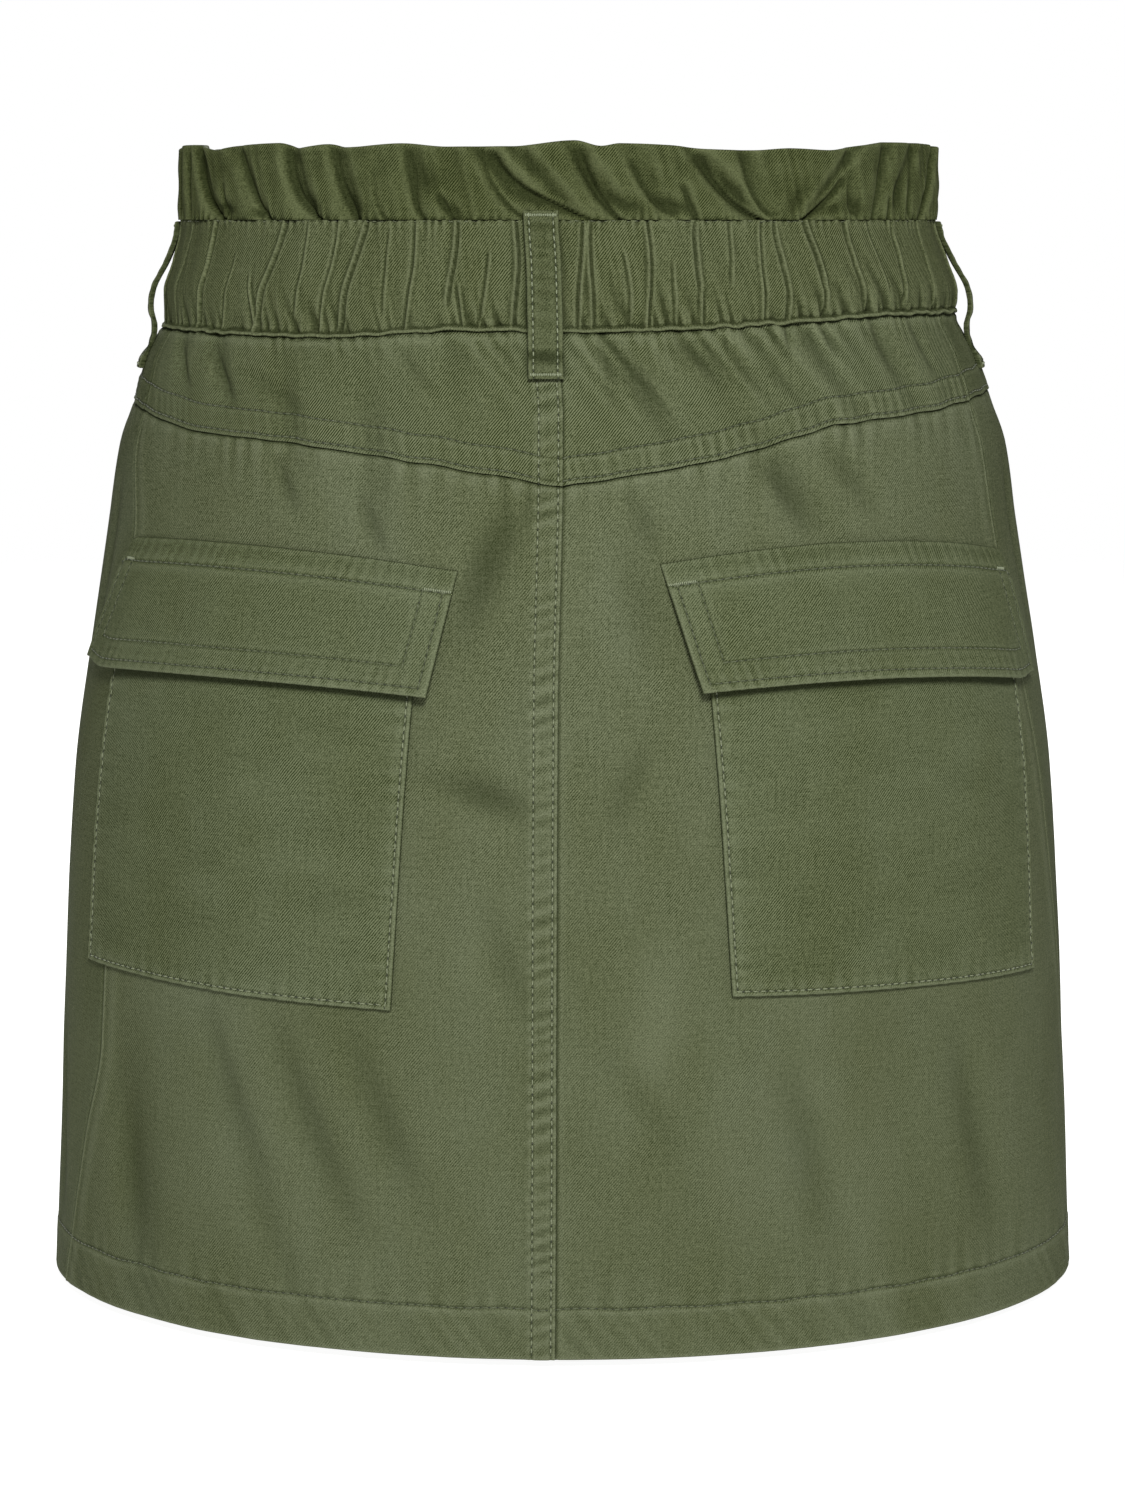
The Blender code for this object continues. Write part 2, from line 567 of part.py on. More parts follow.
def make_belt_loop(name, middle, bow, climb):
    """A folded strap down over the waistband, bowed out above the seam where a belt passes."""
    height, across = np.meshgrid(LOOP_PATH["height"], (-0.5, 0.0, 0.5), indexing="ij")
    path = np.where(LOOP_PATH["lift"] > LOOP_SEAT,
                    LOOP_SEAT + bow * (LOOP_PATH["lift"] - LOOP_SEAT), LOOP_PATH["lift"])
    path = path + np.where(LOOP_PATH["height"] < WAIST_SEAM["height"].min(), climb, 0.0)
    lift = np.repeat(path[:, None], across.shape[1], axis=1)
    share = middle + across * LOOP_WIDTH / half_girth(height)
    outer = skirt_points(share, height, lift + LOOP_WALL)
    wall_solid(name, outer, skirt_points(share, height, lift), LOOP_TWILL)


def main():
    for piece in list(bpy.data.objects):
        bpy.data.objects.remove(piece)
    make_ruffle()
    make_waistband()
    for name, side in (("left", -1), ("right", 1)):
        make_back_yoke("back_yoke_" + name, side)
        make_back_panel("back_panel_" + name, side)
    make_front_yoke()
    make_front_panel()
    for name, shape in POCKETS.items():
        make_pocket(name, **shape)
    for name, shape in FLAPS.items():
        make_flap(name, **shape)
    for name, place in LOOPS.items():
        make_belt_loop(name, **place)


main()
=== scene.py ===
# %% [markdown]
# # Cargo utility skirt
# A short pull-on skirt of olive cotton twill: an elastic waist with a ruffle above it, a shaped
# yoke, two flapped patch pockets on the back, belt loops, a lapped centre back seam and a
# turned-up hem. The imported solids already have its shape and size. This file dresses them:
# each solid is replaced by a thin sheet of cloth that lies in the same place and adds what only
# cloth has, such as gathers, puckers, rolled edges, stitches and the twill weave.
#
# Lengths are in millimetres and become metres when a mesh is made. +Z is up, the back of the
# skirt faces -Y and +X is the wearer's right.

# %% Load the frame
import math

import bpy
import numpy as np
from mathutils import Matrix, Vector


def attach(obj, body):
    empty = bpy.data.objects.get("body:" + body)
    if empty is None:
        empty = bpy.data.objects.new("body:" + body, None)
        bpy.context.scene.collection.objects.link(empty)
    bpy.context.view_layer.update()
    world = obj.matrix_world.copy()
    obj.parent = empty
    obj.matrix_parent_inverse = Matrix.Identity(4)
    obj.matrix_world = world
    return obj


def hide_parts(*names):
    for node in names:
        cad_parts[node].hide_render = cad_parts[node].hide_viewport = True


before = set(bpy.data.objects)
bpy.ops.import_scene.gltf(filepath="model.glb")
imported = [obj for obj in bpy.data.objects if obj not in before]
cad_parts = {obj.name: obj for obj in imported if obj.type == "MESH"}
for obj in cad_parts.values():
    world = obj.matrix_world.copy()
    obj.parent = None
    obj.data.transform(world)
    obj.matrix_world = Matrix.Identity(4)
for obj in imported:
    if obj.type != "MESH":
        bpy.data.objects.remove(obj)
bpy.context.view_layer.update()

# %% [markdown]
# ## The body of the skirt
# A skirt that is worn is close to a stack of ovals, so one table of ovals from the ruffle's top
# to the hem describes it all. Sculpting would also do, but with a table every seam, pocket and
# stitch can be placed by numbers, and they stay in line with each other.
#
# A place round the body is a *share* of half the girth at its height: 0 at the centre back and
# 1 at the centre front, positive towards +X. *Lift* is the distance out from the body.

# %% Measures of the garment
MM = 0.001
STITCH_LINE = 19.7
RUFFLE_TOP = 46.5
HEM = -373.5


def table(columns, *rows):
    """Give a table's columns as arrays, by name."""
    return dict(zip(columns.split(), np.array(rows, dtype=float).T))


def rows_of(rows):
    """Give the rows of a table one by one, each with its values by name."""
    return [dict(zip(rows, values)) for values in zip(*rows.values())]


SECTIONS = table(
    "height middle half_width back_depth front_depth",
    (46.5, -1.3, 138.2, 97.5, 93.5), (19.7, -1.6, 138.8, 98, 94), (5, -0.9, 143, 100.5, 96),
    (-6.5, -0.7, 146.5, 102.5, 98), (-16, -0.7, 146.3, 103, 98.5), (-21, -0.7, 148.7, 104.5, 100),
    (-29, -0.7, 153.1, 108.5, 103), (-46, 0.2, 158.6, 114, 107), (-61, 0.2, 163.9, 119, 110),
    (-90, 0, 168.5, 125, 113), (-135, 0, 176.3, 129.8, 115.4), (-180, 0, 183, 132.3, 117),
    (-235, 0, 186.9, 133.2, 117.6), (-310, 0.1, 190.7, 133.6, 117.9), (-373.5, 0, 194, 134, 118))

# %% Read a table by a smooth curve
def curve(rows, column, value, key="height"):
    """Read a column by a curve through its rows that doesn't overshoot them."""
    order = np.argsort(rows[key])
    x, y = rows[key][order], rows[column][order]
    slopes = np.diff(y) / np.diff(x)
    before, after = slopes[:-1], slopes[1:]
    same_way = before * after > 0.0
    mean = 2.0 * before * after / np.where(same_way, before + after, 1.0)
    tangents = np.concatenate([slopes[:1], np.where(same_way, mean, 0.0), slopes[-1:]])
    value = np.clip(value, x[0], x[-1])
    i = np.clip(np.searchsorted(x, value) - 1, 0, len(x) - 2)
    width = x[i + 1] - x[i]
    t = (value - x[i]) / width
    return ((2 * t ** 3 - 3 * t ** 2 + 1) * y[i] + (t ** 3 - 2 * t ** 2 + t) * width * tangents[i]
            + (3 * t ** 2 - 2 * t ** 3) * y[i + 1] + (t ** 3 - t ** 2) * width * tangents[i + 1])


def wrap(share):
    """Bring a share back between -1 and 1."""
    return (np.asarray(share, dtype=float) + 1.0) % 2.0 - 1.0

# %% Lay out the ovals once, so that any share can be looked up quickly
LEVELS = np.arange(-376.0, 50.0, 1.0)
SHARE_STEPS = 400
TURN_STEPS = 360


def lay_out_body():
    """Half the girth at each level, and the turn round the oval for each even step of share."""
    turn = np.linspace(0.0, np.pi, TURN_STEPS + 1)
    half_width = curve(SECTIONS, "half_width", LEVELS)[:, None]
    back = curve(SECTIONS, "back_depth", LEVELS)[:, None]
    front = curve(SECTIONS, "front_depth", LEVELS)[:, None]
    x = half_width * np.sin(turn)
    y = -np.where(turn < np.pi / 2, back, front) * np.cos(turn)
    run = np.zeros_like(x)
    run[:, 1:] = np.cumsum(np.hypot(np.diff(x), np.diff(y)), axis=1)
    even = np.linspace(0.0, 1.0, SHARE_STEPS + 1)
    return run[:, -1], np.array([np.interp(even * row[-1], row, turn) for row in run])


GIRTHS, TURNS = lay_out_body()
print("girth at the stitch line: %.0f mm" % (2 * np.interp(STITCH_LINE, LEVELS, GIRTHS)))
print("girth at the hem: %.0f mm" % (2 * np.interp(HEM, LEVELS, GIRTHS)))


def half_girth(height):
    """Length of half the oval at a height."""
    return np.interp(height, LEVELS, GIRTHS)


def body(share, height, lift=0.0):
    """Points at a lift from the plain body, along its level normal."""
    share, height, lift = np.broadcast_arrays(wrap(share), np.asarray(height, dtype=float), lift)
    row = np.clip(height - LEVELS[0], 0.0, len(LEVELS) - 1.001)
    column = np.abs(share) * (SHARE_STEPS - 0.001)
    r, c = row.astype(int), column.astype(int)
    down, along = row - r, column - c
    turn = ((1 - down) * ((1 - along) * TURNS[r, c] + along * TURNS[r, c + 1])
            + down * ((1 - along) * TURNS[r + 1, c] + along * TURNS[r + 1, c + 1]))
    half_width = curve(SECTIONS, "half_width", height)
    depth = np.where(turn < np.pi / 2, curve(SECTIONS, "back_depth", height),
                     curve(SECTIONS, "front_depth", height))
    x = np.where(share < 0.0, -1.0, 1.0) * half_width * np.sin(turn)
    y = -depth * np.cos(turn)
    out = np.stack([x / half_width ** 2, y / depth ** 2], axis=-1)
    out /= np.linalg.norm(out, axis=-1)[..., None]
    x = x + out[..., 0] * lift + curve(SECTIONS, "middle", height)
    return np.stack([x, y + out[..., 1] * lift, height], axis=-1)

# %% [markdown]
# ## Unevenness
# Nothing sewn is perfectly even. Two small helpers give the same unevenness on every run,
# because their random numbers have a fixed seed: soft bumps over the cloth, and waves along a
# seam whose crests are never quite the same height or distance apart.

# %% Soft bumps and uneven waves
LOWEST = -380.0
TALLEST = 440.0
DRAWS = 997


def ease(t):
    """Go from 0 to 1 smoothly."""
    t = np.clip(t, 0.0, 1.0)
    return t * t * (3.0 - 2.0 * t)


def uneven(share, height, wide, tall, seed):
    """Soft bumps between -1 and 1, about so wide and so tall, joined up all round the body."""
    around = int(round(2.0 * half_girth(-200.0) / wide))
    lattice = np.random.default_rng(seed).uniform(-1.0, 1.0, (int(TALLEST / tall) + 4, around))
    x = (wrap(share) + 1.0) / 2.0 * around
    y = (height - LOWEST) / tall
    column, row = np.floor(x).astype(int), np.floor(y).astype(int)
    a, b = ease(x - column), ease(y - row)
    left, right = column % around, (column + 1) % around
    low = (1 - a) * lattice[row, left] + a * lattice[row, right]
    high = (1 - a) * lattice[row + 1, left] + a * lattice[row + 1, right]
    return (1 - b) * low + b * high


def drift(along, seed):
    """Wander between -1 and 1 along a line, once for each unit of length."""
    values = np.random.default_rng(seed).uniform(-1.0, 1.0, DRAWS)
    step = np.floor(along).astype(int)
    t = ease(along - step)
    return (1 - t) * values[step % DRAWS] + t * values[(step + 1) % DRAWS]


def ripple(along, pitch, seed):
    """Waves along a line, about a pitch apart."""
    phase = along / pitch + 0.45 * drift(along / (2.2 * pitch), seed)
    return np.sin(2.0 * np.pi * phase) * (0.55 + 0.45 * drift(along / (1.3 * pitch), seed + 1))


def puckers(along, away, pitch, reach, seed):
    """Ripples that start at a seam and die out, some sooner and some later."""
    own_reach = reach * (0.75 + 0.55 * drift(along / pitch, seed + 2))
    return ripple(along, pitch, seed) * np.exp(-np.maximum(away, 0.0) / own_reach)


def pinched(along, away, pitch, reach, seed):
    """Sharp valleys between flat cones that rise from a seam, -1 at their deepest."""
    own_reach = reach * (0.7 + 0.5 * drift(along / pitch, seed + 2))
    valley = ((1.0 - ripple(along, pitch, seed)) / 2.0) ** 2.2
    return -valley * np.exp(-np.maximum(away, 0.0) / own_reach)


def groove(away, width):
    """A soft valley across a line, 1 deep on it."""
    return np.exp(-(away / width) ** 2)


def rolled(away, radius):
    """How far a folded edge has turned down, at a distance in from it."""
    t = np.clip(1.0 - away / radius, 0.0, 1.0)
    return radius * (1.0 - np.sqrt(1.0 - t ** 2))

# %% Wear and painted shade
def blur(values, times):
    """Smooth a grid of values a few times over."""
    for _ in range(times):
        wide = np.pad(values, 1, mode="edge")
        values = (wide[1:-1, :-2] + 2.0 * wide[1:-1, 1:-1] + wide[1:-1, 2:]) / 4.0
        tall = np.pad(values, 1, mode="edge")
        values = (tall[:-2, 1:-1] + 2.0 * tall[1:-1, 1:-1] + tall[2:, 1:-1]) / 4.0
    return values


def rubbed_and_shaded(lift, step=0.30, times=8):
    """Ridges rub paler in washing, up to 0.5, and valleys are painted darker as shade, down to -1.
    """
    return np.clip((lift - blur(lift, times)) / step, -1.0, 0.5)


def steepness(lift, share, height):
    """How steep the cloth is from side to side, from 0 to 1: the weave is hard to see there."""
    run = np.gradient(share, axis=1) * half_girth(height)
    slope = np.abs(np.gradient(lift, axis=1)) / np.maximum(np.abs(run), 0.05)
    return np.clip(blur(slope, 3) / 0.55, 0.0, 1.0)

# %% [markdown]
# ## Seams and creases
# The seams are lines on the body, each a short table. The creases are the soft troughs and
# ridges that worn cloth has. They could come from a cloth simulation, but a simulation puts
# them where it likes, so each is a row of a table: where it starts and ends, how deep and how
# wide it is, and how far it bows sideways.

# %% Where the seams run
WAIST_SEAM = table(
    "share height",
    (-1, -17), (-0.45, -19.2), (-0.22, -20.8), (-0.08, -18), (0, -18.8), (0.11, -17.8),
    (0.24, -15.4), (0.33, -13.8), (0.45, -13.9), (1, -17))
YOKE_SEAM = table(
    "share height",
    (-1, -38), (-0.7, -40.5), (-0.44, -47.3), (-0.32, -54), (-0.24, -56), (-0.12, -61.8),
    (0, -69.9), (0.11, -62.2), (0.16, -57.6), (0.23, -50.6), (0.31, -48), (0.47, -41.9), (0.7, -39),
    (1, -38))
LEFT_SIDE = table(
    "height share",
    (-15, -0.425), (-60, -0.412), (-90, -0.39), (-180, -0.375), (-277, -0.38), (-316, -0.403),
    (-373.5, -0.433))
RIGHT_SIDE = table(
    "height share",
    (-12, 0.41), (-60, 0.397), (-90, 0.4), (-180, 0.43), (-277, 0.475), (-316, 0.49), (-373.5, 0.5))
CENTRE_BACK = table(
    "height share",
    (-15, 0), (-70, 0), (-140, -0.003), (-373.5, -0.005))


def seam_height(seam, share):
    """Height of a level seam, which turns a corner at the centre back and wanders a little."""
    share = wrap(share)
    halves = [{name: column[half] for name, column in seam.items()}
              for half in (seam["share"] <= 0.0, seam["share"] >= 0.0)]
    left, right = (curve(half, "height", share, key="share") for half in halves)
    wander = 0.35 * ripple(share * half_girth(-40.0), 19.0, 45) * (1.0 - share ** 8)
    return np.where(share < 0.0, left, right) + wander


def seam_share(seam, height):
    """Share of an upright seam at a height."""
    return curve(seam, "share", height)

# %% Creases of the skirt
CREASES = table(
    "from_share from_height to_share to_height depth half_width bow",
    (-0.345, -10, -0.29, -50, 1.4, 8, 1), (-0.395, -12, -0.35, -48, 1, 7, 1),
    (-0.262, -12, -0.205, -80, 1.2, 9, 2), (-0.175, -14, -0.135, -98, 1.3, 10, 2),
    (-0.105, -12, -0.085, -45, 0.9, 8, 0), (-0.02, -60, -0.078, -136, 1.5, 16, 3),
    (0.02, -10, 0.098, -66, 1.4, 9, -2), (0.088, -10, 0.15, -56, 1, 8, -2),
    (0.14, -40, 0.215, -98, 1.4, 11, -2), (0.205, -8, 0.262, -52, 1.2, 8, -1),
    (0.29, -6, 0.33, -60, 1, 8, 0), (0.048, -78, 0.068, -142, 1.2, 14, 0),
    (-0.088, -163, -0.015, -185, 1.2, 11, 0), (-0.272, -246, -0.196, -340, 1, 16, 4),
    (-0.212, -248, -0.128, -346, 1, 16, 4), (-0.158, -250, -0.084, -334, 0.9, 15, 3),
    (-0.345, -258, -0.305, -392, 1.3, 20, 4), (0.075, -215, 0.05, -300, -1.3, 20, 0),
    (0.14, -256, 0.2, -366, 0.8, 19, -3), (0.284, -254, 0.345, -372, 0.9, 18, -3),
    (-0.6, -12, -0.56, -70, 1.3, 11, 0), (-0.72, -12, -0.7, -66, 1.1, 11, 0),
    (-0.86, -12, -0.845, -78, 1.3, 12, 0), (0.96, -12, 0.975, -72, 1.1, 12, 0),
    (0.82, -12, 0.8, -70, 1.3, 12, 0), (0.69, -12, 0.66, -76, 1.2, 12, 0),
    (0.57, -12, 0.54, -62, 1.2, 10, 0), (-0.66, -104, -0.59, -226, 1.2, 24, 5),
    (0.72, -98, 0.63, -214, 1.2, 24, 5), (-0.82, -220, -0.77, -395, 1.4, 26, 6),
    (0.84, -205, 0.89, -395, 1.4, 26, -6), (0.64, -240, 0.59, -395, 1.2, 24, 5))
FOLDS = table(
    "from_share from_height to_share to_height depth half_width bow",
    (-0.352, -19, -0.286, -46, 1.2, 3.6, 1.5), (-0.404, -19, -0.344, -42, 0.9, 3.4, 1),
    (-0.15, -20, -0.094, -44, 0.8, 5, 1), (-0.3, -30, -0.215, -50, 0.9, 5.5, -1.5),
    (-0.246, -54, -0.202, -84, 1.2, 5, 2), (-0.162, -68, -0.132, -96, 1.1, 4.6, 1.5),
    (-0.02, -66, -0.08, -128, 1.1, 8.5, 3), (-0.118, -165, -0.01, -183, 1.2, 7.5, 1),
    (0.038, -16, 0.05, -50, 1, 4.2, 1), (0.082, -15, 0.158, -43, 1.2, 5, -1.5),
    (0.114, -16, 0.19, -48, 1.1, 5, -1.5), (0.144, -22, 0.216, -47, 1, 5, -1),
    (0.209, -13, 0.203, -28, 1.4, 2.6, 0.5), (0.238, -13, 0.251, -30, 1.3, 2.8, -0.5),
    (0.297, -11, 0.313, -36, 1.1, 3.8, 0.8), (0.348, -11, 0.364, -38, 1, 3.6, 0.8),
    (0.03, -14, 0.092, -58, 1, 4.6, -2), (0.148, -58, 0.2, -90, 1.2, 7, -2),
    (0.046, -66, 0.078, -98, 1.1, 6.5, 0), (0.204, -52, 0.262, -86, 1, 7.5, -2),
    (-0.274, -240, -0.206, -326, 0.65, 7.5, 3), (-0.218, -242, -0.134, -338, 0.7, 8, 4),
    (-0.158, -246, -0.09, -326, 0.6, 8, 3), (-0.356, -270, -0.312, -388, 0.9, 11, 4),
    (-0.236, -304, -0.15, -388, 0.75, 10, 3), (0.018, -255, 0.09, -306, 0.9, 10, 0),
    (0.15, -252, 0.19, -340, 0.6, 9.5, -2), (0.29, -250, 0.338, -352, 0.65, 10, -2),
    (0.07, -150, 0.03, -196, 1, 9, 1.5), (-0.06, -205, -0.02, -262, 0.9, 9, 0),
    (0.455, -55, 0.47, -140, 1.2, 5, 1), (0.52, -60, 0.5, -130, 1, 6, 0),
    (-0.44, -60, -0.455, -150, 1.1, 5, -1), (-0.47, -250, -0.45, -372, 1.3, 8, 0),
    (0.56, -24, 0.54, -60, 1.1, 4.4, 0), (0.64, -14, 0.66, -50, 1.2, 4, 1),
    (0.7, -16, 0.68, -40, 1.1, 3.4, 0), (0.762, -14, 0.742, -54, 1.2, 4.4, 1.5),
    (0.836, -15, 0.852, -46, 1, 3.8, 0), (0.9, -16, 0.915, -56, 1.2, 4.6, 1),
    (0.958, -15, 0.948, -40, 1.1, 3.2, 0), (-0.97, -16, -0.955, -48, 1.1, 4, 0),
    (-0.912, -17, -0.925, -42, 1.2, 3.6, 1), (-0.842, -16, -0.82, -56, 1.1, 4.6, 1),
    (-0.77, -17, -0.782, -44, 1.2, 3.4, 0), (-0.7, -17, -0.676, -52, 1, 4.2, 1),
    (-0.622, -18, -0.634, -46, 1.2, 3.8, 0), (-0.544, -18, -0.52, -58, 1.1, 4.4, 1),
    (-0.93, -172, -0.79, -240, 0.6, 13, 5), (0.78, -96, 0.905, -172, 0.6, 12, -5),
    (-0.69, -236, -0.6, -384, 0.8, 13, 5), (0.79, -244, 0.7, -388, 0.8, 13, 5),
    (0.945, -214, 1, -374, 0.7, 13, 4), (-0.56, -86, -0.6, -196, 0.8, 11, 4))


def crease_depth(share, height, rows):
    """Sum of the creases in a table: how far the surface lies inside the plain body."""
    along = wrap(share) * half_girth(height)
    depth = np.zeros_like(along)
    for row in rows_of(rows):
        start = np.array([row["from_share"] * half_girth(row["from_height"]), row["from_height"]])
        way = np.array([row["to_share"] * half_girth(row["to_height"]), row["to_height"]]) - start
        length = np.hypot(*way)
        way = way / length
        ahead = np.clip(((along - start[0]) * way[0] + (height - start[1]) * way[1]) / length, 0, 1)
        aside = (along - start[0]) * way[1] - (height - start[1]) * way[0]
        aside = (aside - 4.0 * row["bow"] * ahead * (1.0 - ahead)) / row["half_width"]
        depth += row["depth"] * groove(aside, 0.62) * np.sin(ahead * np.pi) ** 1.5
    return depth


def creases(share, height):
    """Depth of all the creases of the skirt."""
    return 1.5 * crease_depth(share, height, CREASES) + 1.6 * crease_depth(share, height, FOLDS)


def relief(share, height):
    """How far the cloth of the skirt lies out from the plain body, or in."""
    loose = ease((-20.0 - height) / 60.0)
    swell = (0.90 * uneven(share, height, 46.0, 110.0, 3)
             + 0.20 * uneven(share, height, 16.0, 32.0, 4))
    hanging = 0.3 + 0.7 * ease((height - HEM) / 50.0)
    return (loose * swell - creases(share, height)) * hanging


def skirt(share, height, lift=0.0):
    """Points at a lift from the creased, slightly uneven surface of the skirt."""
    return body(share, height, lift + relief(share, height))

# %% [markdown]
# ## Sewing a sheet of cloth
# Every piece is a grid of points on the body: a smooth outer face with all the detail and a
# plainer inner face with fewer points, closed all round so that the cloth has a thickness. The
# Solidify modifier would do this too, but it would copy every point of the fine outer face.
# Each point also keeps its place on the cloth as a UV map, which the weave follows, and how
# worn, how shaded and how steep it is there: folded edges rub first and turn paler, folds,
# creases and hollows are painted darker as shade, and the weave is hard to see where the
# cloth turns away.

# %% Grids and edges
FINE_EDGE = np.array([0.0, 0.12, 0.35, 0.7, 1.2, 1.6, 2.0, 2.5, 3.1])
INNER_STEP = 3


def spaced(length, pitch, start=False, end=False, per=INNER_STEP):
    """Steps from 0 to 1 along a length, closer together at an end that is a rolled edge."""
    first = FINE_EDGE if start else FINE_EDGE[:1]
    last = FINE_EDGE if end else FINE_EDGE[:1]
    between = max(2, int(math.ceil((length - first[-1] - last[-1]) / pitch)))
    between += -(between + len(first) + len(last) - 2) % per
    middle = np.linspace(first[-1], length - last[-1], between + 1)[1:-1]
    return np.concatenate([first, middle, (length - last)[::-1]]) / length


def steps(*runs):
    """Steps from 0 to 1 through runs, each a length and its own pitch."""
    at = [0.0]
    for length, pitch in runs:
        count = int(math.ceil(length / pitch))
        at += [at[-1] + length / count * step for step in range(1, count + 1)]
    spare = -(len(at) - 1) % INNER_STEP
    at = at[:-1] + np.linspace(at[-2], at[-1], spare + 2)[1:].tolist()
    return np.array(at) / at[-1]


def panel_grid(across, down, first_edge, last_edge, top_of, bottom_of):
    """Shares and heights of a panel between two side edges, a top seam and a bottom.

    Shares and heights follow from each other, so they settle in a few rounds."""
    across, down = np.meshgrid(across, down)
    share, height = across * 1.0, down * 1.0
    for _ in range(4):
        first, last = first_edge(height), last_edge(height)
        share = first + (last - first) * across
        top = top_of(share)
        height = top + (bottom_of(share) - top) * down
    return share, height


def edge(seam, turn=0.0):
    """A side edge that follows an upright seam, or the same seam a whole turn, 2, further on."""
    return lambda height: seam_share(seam, height) + turn

# %% Close a sheet between its two faces
pieces = {}
RING_JOIN = 200.0


def face_rows(ids):
    """Quads between the rows of a grid of point numbers, facing outwards."""
    corners = ids[:-1, :-1], ids[1:, :-1], ids[1:, 1:], ids[:-1, 1:]
    return np.stack(corners, axis=-1).reshape(-1, 4).tolist()


def rim(outer, inner):
    """Close the edge between an outer run of points and an inner run with fewer of them."""
    outer, inner = outer.tolist(), inner.tolist()
    return [[*outer[j * INNER_STEP:(j + 1) * INNER_STEP + 1], inner[j + 1], inner[j]]
            for j in range(len(inner) - 1)]


def cloth_place(share, height):
    """Where a point lies on the flat cloth, in millimetres."""
    return np.stack([np.asarray(share) * half_girth(height), np.asarray(height) * 1.0], axis=-1)


def add_object(name, data):
    """Put a named object into the scene."""
    made = bpy.data.objects.new(name, data)
    bpy.context.scene.collection.objects.link(made)
    return made


def make_mesh(name, points, faces, cloth_at, wear_and_shade, steep):
    """Make a named piece from points in millimetres, with the cloth's UV map and how worn,
    shaded and steep it is.

    A face that seems wider on the cloth than RING_JOIN lies across the join of a ring, so its
    first points take their place from the ring's far end."""
    mesh = bpy.data.meshes.new(name)
    mesh.from_pydata((points.reshape(-1, 3) * MM).tolist(), [], faces)
    corner = np.empty(len(mesh.loops), dtype=np.int32)
    mesh.loops.foreach_get("vertex_index", corner)
    corner_at = cloth_at.reshape(-1, 2)[corner]
    sizes = np.array([len(face) for face in faces])
    furthest = np.maximum.reduceat(corner_at[:, 0], np.cumsum(sizes) - sizes)
    past_end = np.repeat(furthest, sizes) - corner_at[:, 0] > RING_JOIN
    corner_at[:, 0] += past_end * 2.0 * half_girth(corner_at[:, 1])
    layer = mesh.uv_layers.new(name="cloth")
    layer.data.foreach_set("uv", (corner_at * MM).astype(np.float32).ravel())
    for kind, values in (("wear_and_shade", np.clip(wear_and_shade, -1.0, 1.0)), ("steep", steep)):
        layer = mesh.attributes.new(kind, "FLOAT", "POINT")
        layer.data.foreach_set("value", values.astype(np.float32).ravel())
    mesh.shade_smooth()
    pieces[name] = add_object(name, mesh)
    print("%s: %d faces" % (name, len(mesh.polygons)))


def sew(name, share, height, lift, inner_lift, wear_and_shade, creased=True, ring=False, cut=(0.0, 0.0)):
    """Make a piece of cloth: rows run downwards and columns towards +X."""
    fewer = np.s_[::INNER_STEP, ::INNER_STEP]
    rise = relief(share, height) if creased else np.zeros_like(share)
    # Ridges rub paler; valleys and creases are painted darker as shade.
    wear_and_shade = wear_and_shade + rubbed_and_shaded(lift) + rubbed_and_shaded(lift + rise, step=5.0, times=60)
    if creased:
        wear_and_shade = wear_and_shade - 0.11 * creases(share, height)
    inner_lift = np.broadcast_to(inner_lift, share.shape)[fewer]
    outer = body(share, height, lift + rise)
    inner = body(share[fewer], height[fewer], inner_lift + rise[fewer])
    outer_ids = np.arange(share.size).reshape(share.shape)
    inner_ids = share.size + np.arange(inner_lift.size).reshape(inner_lift.shape)
    if ring:
        outer_ids, inner_ids = (np.hstack([ids, ids[:, :1]]) for ids in (outer_ids, inner_ids))
    edges = [(outer_ids[0], inner_ids[0], 1), (outer_ids[-1], inner_ids[-1], -1)]
    if not ring:
        edges += [(outer_ids[:, 0], inner_ids[:, 0], -1), (outer_ids[:, -1], inner_ids[:, -1], 1)]
    faces = face_rows(outer_ids) + face_rows(inner_ids[:, ::-1])
    for outer_run, inner_run, way in edges:
        faces += [face[::way] for face in rim(outer_run, inner_run)]
    at = cloth_place(share, height) + np.array(cut)
    steep, bare = steepness(lift + rise, share, height), np.zeros(inner_lift.size)
    make_mesh(name, np.vstack([outer.reshape(-1, 3), inner.reshape(-1, 3)]), faces,
              np.vstack([at.reshape(-1, 2), at[fewer].reshape(-1, 2)]),
              np.concatenate([wear_and_shade.ravel(), bare]), np.concatenate([steep.ravel(), bare]))

# %% [markdown]
# ## The ruffle
# The ruffle is the top of the elastic casing, carried on above the elastic and folded over at
# its upper edge. The elastic gathers it, so it stands in rounded pipes with narrow valleys
# between them. Each valley is a row of a table. A plain sine wave would look like corrugated
# iron, so the valleys differ in depth and width, lean to one side and hook near the stitches.

